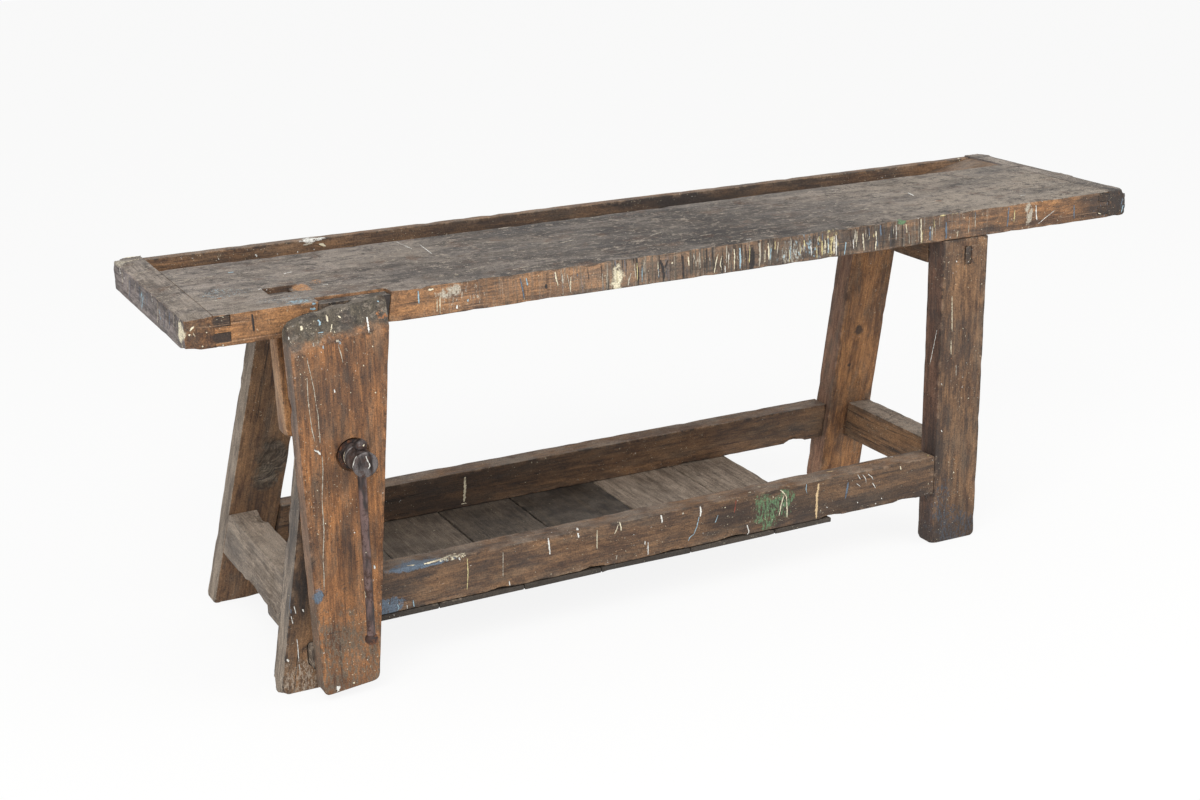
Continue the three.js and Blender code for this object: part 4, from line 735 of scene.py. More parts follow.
def timber_surface(name, wood, seed):
    """Worn oak: fibres and pores along the grain, then checks, grime and painted shade, dust, smears and
    specks.
    """
    colours = bpy.context.scene.bench_wood
    s = Surface(bpy.data.materials.new(name))
    g = wood_growth(s, wood, seed)
    parts = ("streaks", 0.3), ("fibre", 0.26), ("figure", 0.36), ("mottle", 0.3), ("drift", 0.26)
    grain = s.span(weighed(s, [(g[part], weight) for part, weight in parts]), 0.62, 0.86)

    dark, light = wood.dark, wood.light
    ragged = s.math("SUBTRACT", s.noise(s.place, 27.0, 8, 0.76), 0.5)
    upward = s.facing(UP, 0.6, 0.8)
    if wood.upper_above:
        upward = over_line(s, *wood.upper_above, ragged)
    if wood.outer:
        left = s.facing(-ALONG)
        dark = s.mix(left, dark, wood.outer[0])
        light = s.mix(left, light, wood.outer[1])
    if wood.upper:
        dark = s.mix(upward, dark, wood.upper[0])
        light = s.mix(upward, light, wood.upper[1])
    tint = s.mix(grain, dark, light)
    film = s.span(s.noise(s.mapped(g["lie"], (6, 22, 22)), 1.0, 7, 0.72), 0.46, 0.66)
    tint = s.mix(s.math("MULTIPLY", film, wood.film), tint, colours.film)
    tint = s.mix(s.math("MULTIPLY", g["pore"], 0.4), tint, colours.grime)
    tint = s.mix(s.math("MULTIPLY", g["check"], 0.8), tint, colours.grime)

    pit = s.span(s.noise(s.place, 150.0, 3, 0.6), 0.6, 0.7)
    tint = s.mix(s.math("MULTIPLY", pit, 0.5), tint, colours.grime)

    if wood.runs:
        tint = run_down(s, tint, wood.runs)
    blotch = s.noise(s.mapped(g["lie"], (3.5, 10, 10)), 1.0, 8, 0.7)
    smear = s.noise(s.mapped(g["lie"], (3, 17, 17), location=(1.3, 2.1, 0)), 1.0, 5, 0.6)
    dirt = s.math("MULTIPLY", s.span(blotch, 0.45, 0.66), s.span(smear, 0.36, 0.6))
    small = s.span(s.noise(s.mapped(g["lie"], (13, 60, 60)), 1.0, 7, 0.74), 0.52, 0.64, 0.0, 0.8)
    dirt = s.math("MAXIMUM", dirt, s.math("MULTIPLY", small, s.span(blotch, 0.4, 0.6)))
    patchy = s.span(s.math("ADD", smear, s.math("MULTIPLY", small, 0.2)), 0.32, 0.62, 0.4, 1.0)
    if wood.stains:
        level = s.math("MULTIPLY", s.math("SUBTRACT", 1.0, upward), along_stain(s, wood.stains))
        dirt = s.math("MAXIMUM", dirt, s.math("MULTIPLY", level, patchy))
    if wood.upper_stains:
        level = s.math("MULTIPLY", upward, along_stain(s, wood.upper_stains))
        dirt = s.math("MAXIMUM", dirt, s.math("MULTIPLY", level, patchy))
    if wood.upper_wash:
        level = s.math("MULTIPLY", upward, along_stain(s, wood.upper_wash))
        tint = s.mix(s.math("MULTIPLY", level, patchy), tint, colours.dust)
    end = s.math("MAXIMUM", s.facing(wood.grain), s.facing(-wood.grain))
    dirt = s.math("MAXIMUM", dirt, s.math("MULTIPLY", end, s.span(blotch, 0.3, 0.7, wood.end, 1.0)))
    if wood.black_below:
        dirt = s.math("MAXIMUM", dirt, height_grime(s, *wood.black_below))
    for place, reach in wood.dark_spots:
        away = s.math("ADD", s.away_from(place, reach), s.math("MULTIPLY", ragged, 0.5))
        dirt = s.math("MAXIMUM", dirt, s.span(away, 1.15, 0.8, 0.0, 1.2))
    # Painted shade on the walls of a hole.
    for place, reach in wood.hole_walls:
        inside = s.span(s.away_from(place, reach), 1.1, 0.9)
        dirt = s.math("MAXIMUM", dirt, s.math("MULTIPLY", inside, s.math("SUBTRACT", 1.0, upward)))
    drawn = weighed(s, [(s.math("SUBTRACT", smear, 0.5), 2.6), (ragged, 1.6)])
    for place, reach, amount in wood.soot:
        away = s.math("ADD", s.away_from(place, reach), drawn)
        dirt = s.math("MAXIMUM", dirt, s.span(away, 1.35, 0.1, 0.0, amount))

    rub = s.noise(s.place, 45.0, 5, 0.65)
    edge = s.node("ShaderNodeAttribute", attribute_name="edge").outputs["Fac"]
    border = s.span(edge, 0.012, 0.0)
    worn = s.math("MULTIPLY", border, s.span(rub, 0.5, 0.64))
    black = s.math("MULTIPLY", border, s.span(rub, 0.54, 0.4, 0.0, wood.rim))
    dirt = s.math("MAXIMUM", dirt, black)
    # dirt carries grime and also painted shade: the hole walls, the dark spot at the vise leg's head and the
    # shadows among the soot patches.
    tint = s.mix(s.math("MULTIPLY", dirt, wood.grime), tint, colours.grime)
    if wood.upper:
        tint = flecked(s, tint, s.math("MULTIPLY", upward, wood.flecks))
    tint = s.mix(s.math("MULTIPLY", worn, 0.5), tint, s.mix(0.4, light, colours.dust))
    for place, reach in wood.splinters:
        away = s.math("ADD", s.away_from(place, reach), s.math("MULTIPLY", ragged, 2.2))
        tint = s.mix(s.span(away, 1.15, 0.6, 0.0, 0.85), tint, curled_fibre(s))
    for place, radius in wood.knots:
        tint = s.mix(knot_shade(s, place, radius), tint, colours.grime)

    settled = s.math("MULTIPLY", s.facing(UP, 0.3, 0.9), s.span(s.noise(s.place, 14.0, 6, 0.68), 0.36, 0.68))
    tint = s.mix(s.math("MULTIPLY", settled, wood.dust), tint, colours.dust)

    grown = (g["fibre"], 0.5), (g["streaks"], 0.6), (g["pore"], -0.4), (g["check"], -1.6)
    height = weighed(s, (*grown, (pit, -0.6), (rub, 0.7)))
    if wood.scratches:
        score = scratch_lines(s)
        pale = s.mix(0.5, light, colours.dust)
        tint = s.mix(s.math("MULTIPLY", score, wood.scratches), tint, pale)
        height = s.math("SUBTRACT", height, s.math("MULTIPLY", score, 0.8))
    broken = s.noise(s.mapped(s.place, (190, 190, 70)), 1.0, 6, 0.74)
    for place, reach, tone, cover in wood.smears:
        away = s.math("ADD", s.away_from(place, reach), s.math("MULTIPLY", ragged, 3.4))
        open_at = 0.7 - 0.45 * cover
        closed = s.span(broken, open_at - 0.04, open_at + 0.04)
        tint = s.mix(s.math("MULTIPLY", s.span(away, 1.0, 0.7, 0.0, 0.9), closed), tint, tone)
    grit = s.span(s.noise(s.place, 400.0, 3, 0.65), 0.32, 0.68, 0.66, 1.34)
    tint = s.mix(1.0, tint, grit, "MULTIPLY")
    tint = speckled(s, tint, wood.specks)
    return s.close(tint, s.span(blotch, 0.3, 0.7, 0.88, 0.6), height, 0.0011)


def over_line(s, start, slope, ragged):
    """1 over a line that rises along the bench from a start of (along, height), with a ragged border."""
    parts = s.node("ShaderNodeSeparateXYZ", {0: s.place}).outputs
    along = s.math("MULTIPLY", s.math("SUBTRACT", parts[0], start[0]), slope)
    over = s.math("SUBTRACT", s.math("SUBTRACT", parts[2], start[1]), along)
    return s.span(s.math("ADD", over, s.math("MULTIPLY", ragged, 0.06)), -0.006, 0.018)


def flecked(s, tint, upward):
    """The knocks of a worked face: places rubbed to brown wood, dark pits and pale flecks."""
    colours = bpy.context.scene.bench_wood
    brown = s.span(s.noise(s.place, 17.0, 6, 0.68), 0.52, 0.66, 0.0, 0.65)
    pits = s.span(s.noise(s.place, 46.0, 8, 0.8), 0.52, 0.6, 0.0, 0.9)
    pale = s.span(s.noise(s.mapped(s.place, (58, 90, 58)), 1.0, 7, 0.8), 0.56, 0.6, 0.0, 0.85)
    cloud = s.noise(s.mapped(s.place, (3.2, 7, 7)), 1.0, 6, 0.66)
    shade = s.span(cloud, 0.48, 0.64, 0.0, 0.55)
    bright = s.span(cloud, 0.46, 0.32, 0.0, 0.35)
    dents = s.span(s.noise(s.mapped(s.place, (19, 34, 19)), 1.0, 9, 0.84), 0.545, 0.575, 0.0, 0.8)
    rubbed = s.noise(s.mapped(s.place, (23, 31, 23), location=(5, 7, 0)), 1.0, 9, 0.85)
    chalk = s.span(rubbed, 0.57, 0.6, 0.0, 0.9)
    dark = (brown, colours.edge_dark), (shade, colours.grime), (pits, colours.grime), (dents, colours.grime)
    for share, tone in (*dark, (bright, colours.dust), (pale, colours.dust), (chalk, colours.dust)):
        tint = s.mix(s.math("MULTIPLY", share, upward), tint, tone)
    return tint


def run_down(s, tint, stops):
    """Thin paint and dirt that ran down the front edge."""
    colours, paints = bpy.context.scene.bench_wood, bpy.context.scene.bench_paint
    where = s.math("MULTIPLY", s.facing(-ACROSS), along_stain(s, stops))
    tint = s.mix(s.math("MULTIPLY", where, 0.35), tint, colours.dust)
    thin = (0.0, 0.52, colours.film, 0.9), (5.0, 0.53, colours.grime, 0.9), (9.0, 0.57, paints.dull, 0.7)
    for shift, low, tone, amount in (*thin, (13.0, 0.6, paints.slate, 0.6)):
        path = s.mapped(s.place, (190, 1, 10), location=(shift, 0, shift))
        streak = s.span(s.noise(path, 1.0, 4, 0.6), low, low + 0.1, 0.0, amount)
        tint = s.mix(s.math("MULTIPLY", streak, where), tint, tone)
    return tint


def curled_fibre(s):
    """Torn wood: curls of pale and dark fibre that bend across the grain."""
    colours = bpy.context.scene.bench_wood
    bend = s.node("ShaderNodeTexNoise", {"Vector": s.place, "Scale": 16.0, "Detail": 2.0}).outputs["Color"]
    inputs = {0: bend, 1: (0.0, 0.0, 0.09), 2: s.mapped(s.place, rotation=(0, 0.45, 0))}
    bent = s.node("ShaderNodeVectorMath", inputs, operation="MULTIPLY_ADD").outputs[0]
    curls = s.noise(s.mapped(bent, (26, 26, 210)), 1.0, 4, 0.6)
    return s.mix(s.span(curls, 0.4, 0.66), colours.shelf_dark, colours.film)


def knot_shade(s, place, radius):
    """A dark, uneven knot of the given radius."""
    wobble = s.math("MULTIPLY", s.math("SUBTRACT", s.noise(s.place, 60.0), 0.5), 1.4)
    away = s.math("ADD", s.away_from(place, (radius, radius, radius)), wobble)
    return s.span(away, 1.0, 0.5, 0.0, 0.85)


def scratch_lines(s):
    """Thin scores in the worked surface, in four directions."""
    score = 0.0
    for angle, shift in ((0.35, 0.0), (-0.6, 3.0), (1.3, 5.0), (2.2, 9.0)):
        path = s.mapped(s.place, (3.2, 150, 150), (0, 0, angle), (shift, shift, 0))
        score = s.math("MAXIMUM", score, s.span(s.noise(path, 1.0, 2), 0.68, 0.75))
    return score


def speckled(s, tint, amount):
    """Small flecks of old paint, thrown at random over a surface."""
    paints = bpy.context.scene.bench_paint
    crowd = s.span(s.noise(s.place, 5.0, 4, 0.6), 0.42, 0.7)
    bend = s.node("ShaderNodeTexNoise", {"Vector": s.place, "Scale": 160.0, "Detail": 3.0}).outputs["Color"]
    inputs = {0: bend, 1: (0.012, 0.012, 0.012), 2: s.place}
    bent = s.node("ShaderNodeVectorMath", inputs, operation="MULTIPLY_ADD").outputs[0]
    for size, limit, paint in ((230.0, 0.18, paints.cream), (95.0, 0.1, paints.white)):
        cells = s.node("ShaderNodeTexVoronoi", {"Vector": bent, "Scale": size})
        chance = s.node("ShaderNodeSeparateColor", {0: cells.outputs["Color"]}).outputs[0]
        chosen = s.math("LESS_THAN", chance, s.math("MULTIPLY", crowd, amount * 0.45))
        dot = s.math("LESS_THAN", cells.outputs["Distance"], limit)
        fleck = s.math("MULTIPLY", s.math("MULTIPLY", dot, chosen), 0.7)
        tint = s.mix(fleck, tint, paint)
    return tint


def iron_surface(name, clean, dirty, rust, polish, bare):
    """Handled iron or steel: bare on the high places, rusty and dirty between."""
    s = Surface(bpy.data.materials.new(name))
    patches = s.noise(s.place, 48.0, 6, 0.65)
    pits = s.noise(s.place, 420.0, 3, 0.6)
    flow = s.noise(s.mapped(s.place, (20, 20, 6)), 4.0, 4)
    tint = s.mix(s.span(flow, 0.35, 0.65), dirty, clean)
    rusty = s.span(s.math("ADD", patches, s.math("MULTIPLY", pits, 0.3)), 0.62, 0.78)
    tint = s.mix(rusty, tint, rust)
    tint = s.mix(s.span(pits, 0.6, 0.72), tint, dirty)
    roughness = s.span(rusty, 0.0, 1.0, 1.0 - polish, 0.88)
    metallic = s.span(rusty, 0.0, 1.0, bare, bare * 0.2)
    height = s.math("ADD", s.math("MULTIPLY", pits, 0.5), patches)
    return s.close(tint, roughness, height, 0.0007, metallic)


def paint_surface(name, tint):
    """Old dried paint: dulled by dirt, cracked, and rubbed through to the wood at its rim."""
    wood = bpy.context.scene.bench_wood
    s = Surface(bpy.data.materials.new(name))
    dull = s.noise(s.place, 90.0, 5, 0.65)
    crack = s.node("ShaderNodeTexVoronoi", {"Vector": s.place, "Scale": 320.0}, feature="DISTANCE_TO_EDGE")
    line = s.span(crack.outputs["Distance"], 0.05, 0.0)
    line = s.math("MULTIPLY", line, s.span(dull, 0.5, 0.6))
    shade = s.mix(s.span(dull, 0.5, 0.78, 0.0, 0.5), tint, wood.grime)
    shade = s.mix(s.math("MULTIPLY", line, 0.5), shade, wood.grime)
    rim = s.node("ShaderNodeAttribute", attribute_name="rim").outputs["Fac"]
    flaked = s.math("ADD", s.noise(s.place, 230.0, 5, 0.7), s.math("MULTIPLY", rim, 0.3))
    shade = s.mix(s.span(flaked, 0.66, 0.74), shade, wood.oak_dark)
    return s.close(shade, s.span(dull, 0.3, 0.7, 0.4, 0.75), s.math("SUBTRACT", dull, line), 0.0003)


def camera_turn():
    """How the camera is turned: to the bench, down at it and a little out of level."""
    turn = Matrix.Rotation(-CAMERA_YAW, 4, "Z") @ Matrix.Rotation(math.pi / 2 - CAMERA_PITCH, 4, "X")
    return turn @ Matrix.Rotation(CAMERA_ROLL, 4, "Z")


def line_of_sight(pixel, lens):
    """The way from the camera to what the photo shows at a pixel."""
    width, height = PHOTO_SIZE
    right = (pixel[0] - width / 2) / width + CAMERA_SHIFT[0]
    rise = (height / 2 - pixel[1]) / width + CAMERA_SHIFT[1]
    return (camera_turn().to_3x3() @ Vector((right, rise, -lens / SENSOR_WIDTH))).normalized()


def merged_copy(node):
    """A bmesh of a solid with its loose triangles joined into whole faces."""
    bm = bmesh.new()
    bm.from_mesh(frame["nodes"][node].data)
    bmesh.ops.remove_doubles(bm, verts=bm.verts, dist=1e-5)
    bmesh.ops.dissolve_limit(bm, angle_limit=math.radians(0.6), verts=bm.verts, edges=bm.edges)
    return bm


def outer_edges(bm, shortest):
    """The edges that stand out and are long enough to be worn round."""
    return [
        e
        for e in bm.edges
        if e.is_manifold
        and e.calc_length() > shortest
        and e.calc_face_angle_signed(0) > math.radians(20)
    ]


def slice_at(bm, point, normal):
    geometry = [*bm.verts, *bm.edges, *bm.faces]
    bmesh.ops.bisect_plane(bm, geom=geometry, plane_co=point, plane_no=normal, dist=1e-5)


def distance_to_edges(point, lines):
    nearest = 1.0
    for start, run, squared in lines:
        t = min(max((point - start).dot(run) / squared, 0.0), 1.0)
        nearest = min(nearest, (point - start - run * t).length)
    return nearest


def worn_timber(node, grain, seed, edge_round=None, shortest=0.02, joint=(), clear_of=None, **wear):
    """A copy of a wooden solid with worn edges, chips along them and shallow hollows in its faces.

    joint is a (nearest, farthest) reach from the middle of the bench, and edges between them stay sharp.
    clear_of is a (point, radius) round which the edges stay as they are.
    The other settings are those of wear_down.
    """
    sizes = bpy.context.scene.bench_sizes
    width = edge_round or sizes.edge_round
    bm = merged_copy(node)
    edges = outer_edges(bm, shortest)
    if joint:
        edges = [e for e in edges if not in_joint(e, *joint)]
    if clear_of:
        point, radius = clear_of
        edges = [e for e in edges if min((v.co - point).length for v in e.verts) > radius]
    lines = []
    for e in edges:
        run = e.verts[1].co - e.verts[0].co
        lines.append((e.verts[0].co.copy(), run, run.length_squared))
    planes = {}
    for f in bm.faces:
        if f.calc_area() > 0.004:
            depth = round(f.normal.dot(f.verts[0].co), 4)
            key = (*(round(part, 2) for part in f.normal), depth)
            planes[key] = (f.normal.copy(), f.verts[0].co.copy())
    bmesh.ops.bevel(
        bm,
        geom=edges,
        offset=width,
        offset_type="OFFSET",
        affect="EDGES",
        segments=3,
        profile=0.5,
        material=-1,
        clamp_overlap=True,
    )
    for normal, point in planes.values():
        slice_at(bm, point - normal * (width + sizes.edge_border), normal)
    reach = [v.co.dot(grain) for v in bm.verts]
    step = sizes.slice_step
    place = min(reach) + step
    while place < max(reach) - step / 2:
        slice_at(bm, grain * (place + step * 0.3 * noise.noise(Vector((place * 31, seed, 0)))), grain)
        place += step
    for point, radius, _ in (*wear.get("gouges", ()), *wear.get("raised", ())):
        refine_round(bm, Vector(point), radius)
    for point, _, depth in wear.get("corners", ()):
        refine_round(bm, Vector(point), depth * 3)
    bm.normal_update()
    near = bm.verts.layers.float.new("edge")
    for v in bm.verts:
        v[near] = min(distance_to_edges(v.co, lines), 0.05) if lines else 0.05
    wear_down(bm, near, seed, **wear)
    return bm


def in_joint(edge, nearest, farthest):
    """Whether an edge lies in the joint at one end of the bench."""
    places = [v.co.x for v in edge.verts]
    inside = all(nearest < abs(x) < farthest for x in places)
    return inside and places[0] * places[1] > 0


def refine_round(bm, point, radius):
    """Cuts the mesh finer where a gouge will be."""
    for _ in range(3):
        edges = [
            e
            for e in bm.edges
            if ((e.verts[0].co + e.verts[1].co) / 2 - point).length < radius * 1.2
            and e.calc_length() > 0.005
        ]
        if edges:
            bmesh.ops.subdivide_edges(bm, edges=edges, cuts=1, use_grid_fill=True)


def wear_down(bm, near, seed, gouges=(), tear=0.3, raised=(), corners=()):
    """Pushes points into the wood: chips along the edges, hollows in the faces, and the gouges.

    gouges are (point, radius, depth) places that are rubbed away, or torn when tear is near 1.
    raised are (point, radius, rise) places that stand up over the solid.
    corners are (point, way it faces, depth) corners that are cut off, not quite flat.
    """
    sizes = bpy.context.scene.bench_sizes
    offset = Vector((seed * 1.37, seed * 0.71, seed * 2.13))
    moves = []
    for v in bm.verts:
        edge = max(0.0, 1.0 - v[near] / sizes.edge_border)
        rough = 0.6 * noise.noise(v.co * 38 + offset) + 0.4 * noise.noise(v.co * 95 + offset)
        chip = max(0.0, rough - 0.05) ** 1.3 * sizes.chip_depth * 3.2 * edge
        hollow = max(0.0, 0.5 + noise.noise(v.co * 5 + offset)) * sizes.hollow_depth * 0.8
        torn = 0.0
        for point, radius, depth in gouges:
            near_gouge = max(0.0, 1.0 - (v.co - Vector(point)).length / radius)
            splinters = 0.4 * noise.noise(v.co * 60 + offset) + 0.35 * noise.noise(v.co * 150 + offset)
            torn = max(torn, depth * near_gouge**0.6 * (0.75 + tear * splinters))
        rise = 0.0
        for point, radius, most in raised:
            rise = max(rise, most * max(0.0, 1.0 - (v.co - Vector(point)).length / radius) ** 0.7)
        moves.append((v, UP * rise - v.normal * (chip + hollow + torn)))
    for v, move in moves:
        v.co += move
    for point, outward, depth in corners:
        for v in bm.verts:
            kept = depth * (1 + 0.5 * noise.noise(v.co * 60 + offset))
            v.co -= outward * max(0.0, (v.co - Vector(point)).dot(outward) + kept)


def add_piece(bm, name, body, slot, material, nodes=()):
    """Puts a finished bmesh in the scene, on its body and in place of its solids."""
    mesh = bpy.data.meshes.new(name)
    bm.to_mesh(mesh)
    bm.free()
    mesh.materials.append(material)
    for face in mesh.polygons:
        face.use_smooth = True
    mesh.set_sharp_from_angle(angle=math.radians(40))
    piece = bpy.data.objects.new(name, mesh)
    bpy.context.scene.collection.objects.link(piece)
    even = piece.modifiers.new("Even shading", "WEIGHTED_NORMAL")
    even.keep_sharp = True
    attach(piece, body)
    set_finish(piece, slot)
    if nodes:
        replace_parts(piece, *nodes)
    return piece


def add_timber(node, wood, slot, seed, body="bench", **wear):
    bm = worn_timber(node, wood.grain, seed, **wear)
    material = timber_surface(node + "_wood", wood, seed)
    return add_piece(bm, "worn_" + node, body, slot, material, [node])


class BENCH_OT_top(bpy.types.Operator):
    """Build the worked top: slab, end caps, rear rail, tray and ramp"""

    bl_idname = "bench.top"
    bl_label = "Top"

    def execute(self, context):
        c = context.scene.bench_wood
        sizes = context.scene.bench_sizes
        edge = (c.edge_dark, c.edge_light)
        worked = (c.top_dark, c.top_light)
        slab = Wood(*edge, grime=0.8, dust=0.15, film=0.15, upper=worked, scratches=0.4)
        slab.stains = (
            (0, 0.1), (0.22, 0.05), (0.4, 0.3), (0.5, 0.9), (0.68, 0.95),
            (0.76, 0.5), (0.84, 0.0), (0.91, 0.0), (0.96, 1.0),
        )
        slab.upper_stains = ((0, 0.4), (0.2, 0.5), (0.35, 1.2), (0.55, 1.4), (0.7, 0.2), (0.82, 0))
        slab.upper_wash = ((0, 0), (0.6, 0), (0.72, 0.4), (0.82, 1.1), (1, 1.1))
        slab.rim = 0.8
        slab.runs = ((0, 0), (0.22, 0.1), (0.32, 0.5), (0.4, 1.1), (0.7, 1), (0.78, 0.4), (0.88, 0.05))
        # The dark patch round the planing stop's hole and the darkened walls of the hole are painted shade
        # inside the hole.
        slab.soot = (((-0.877, -0.0895, 0.765), (0.055, 0.05, 0.03), 1.0),)
        slab.hole_walls = (((-0.872, -0.0895, 0.770), (0.05, 0.05, 0.05)),)
        slab.smears = self.slab_smears(c, context.scene.bench_paint)
        slab_wear = {"edge_round": sizes.top_round, "joint": (1.0, 1.2), "gouges": SLAB_KNOCKS}
        add_timber("top_slab", slab, "worn_top", 1, **slab_wear)

        cap = Wood(*edge, ACROSS, 0.75, 0.2, 0.8, end=0.3, upper=worked, rim=0.25, scratches=0.3)
        fingers = [(end, FRONT, height) for end in FINGER_PLACES for height in (0.762, 0.732)]
        cap.dark_spots = tuple((finger, (0.02, 0.05, 0.014)) for finger in fingers)
        cap.outer = (c.end_dark, c.end_light)
        cap.smears = self.cap_smears(c, context.scene.bench_paint)
        cap_round = {"edge_round": sizes.cap_round, "shortest": 0.012, "joint": (0.9, 1.0425)}
        left = {"gouges": LEFT_CAP_KNOCKS, "corners": cap_corners(-END)}
        add_timber("left_end_cap", cap, "worn_top", 2, **left, **cap_round)
        add_timber("right_end_cap", cap, "worn_top", 3, corners=cap_corners(END), **cap_round)

        rail = Wood(c.oak_dark, c.oak_light, grime=0.85, dust=0.3)
        rail.stains = ((0, 0), (0.1, 0), (0.2, 0.4), (0.5, 1.2), (0.75, 1), (0.86, 0.5), (0.94, 0.05))
        rail.smears = (((-0.685, 0.2985, 0.769), (0.03, 0.02, 0.004), context.scene.bench_paint.white, 0.6),)
        add_timber("rear_rail", rail, "oiled_oak", 4, joint=(1.0, 1.2))
        tray = Wood(c.shelf_dark, c.shelf_light, grime=0.6, dust=0.5)
        add_timber("tray_bottom", tray, "shelf_wood", 5)
        add_timber("tray_ramp", Wood(c.oak_dark, c.oak_light, grime=0.8, dust=0.4), "oiled_oak", 6)
        return {"FINISHED"}

    def slab_smears(self, wood, paint):
        return (
            ((-0.836, -0.0895, 0.771), (0.016, 0.030, 0.010), wood.edge_light, 0.55),
            ((-0.800, -0.0650, TOP), (0.012, 0.020, 0.010), wood.edge_light, 0.35),
            ((-0.590, FRONT, 0.758), (0.025, 0.04, 0.012), paint.dull, 0.55),
            ((-0.560, FRONT, 0.748), (0.060, 0.04, 0.030), paint.dull, 0.25),
            ((-0.224, FRONT, 0.737), (0.014, 0.04, 0.026), paint.cream, 0.8),
            ((0.088, FRONT, 0.740), (0.008, 0.04, 0.026), paint.black, 0.9),
            ((0.190, FRONT, 0.735), (0.032, 0.04, 0.026), paint.dull, 0.35),
            ((0.220, FRONT, 0.742), (0.060, 0.04, 0.030), paint.sky, 0.25),
            ((0.283, FRONT, 0.745), (0.020, 0.04, 0.030), paint.yellow, 0.32),
            ((0.465, FRONT, 0.769), (0.011, 0.02, 0.006), paint.green, 0.8),
            ((0.812, FRONT, 0.745), (0.011, 0.04, 0.032), paint.dull, 0.6),
            ((1.060, FRONT, 0.740), (0.050, 0.04, 0.030), paint.slate, 0.25),
            ((-0.980, -0.0600, TOP), (0.050, 0.04, 0.020), paint.sky, 0.25),
            ((-0.900, -0.1600, TOP), (0.060, 0.025, 0.020), paint.sky, 0.22),
            ((-0.870, -0.1900, TOP), (0.030, 0.012, 0.020), paint.sky, 0.4),
        )

    def cap_smears(self, wood, paint):
        return (
            ((-END, -0.185, 0.742), (0.020, 0.020, 0.024), paint.cream, 0.6),
            ((-1.075, FRONT, 0.748), (0.010, 0.03, 0.014), paint.cream, 0.25),
            ((-END, 0.100, 0.740), (0.030, 0.015, 0.020), paint.sky, 0.35),
            ((-END, 0.290, TOP), (0.020, 0.030, 0.008), paint.dull, 0.5),
            ((-END, BACK, 0.745), (0.022, 0.022, 0.060), wood.end_dark, 0.9),
            ((1.095, -0.200, 0.730), (0.015, 0.020, 0.015), paint.sky, 0.3),
            ((1.075, FRONT, 0.745), (0.060, 0.03, 0.050), wood.grime, 0.72),
            ((1.085, FRONT, 0.745), (0.012, 0.03, 0.020), paint.slate, 0.35),
        )


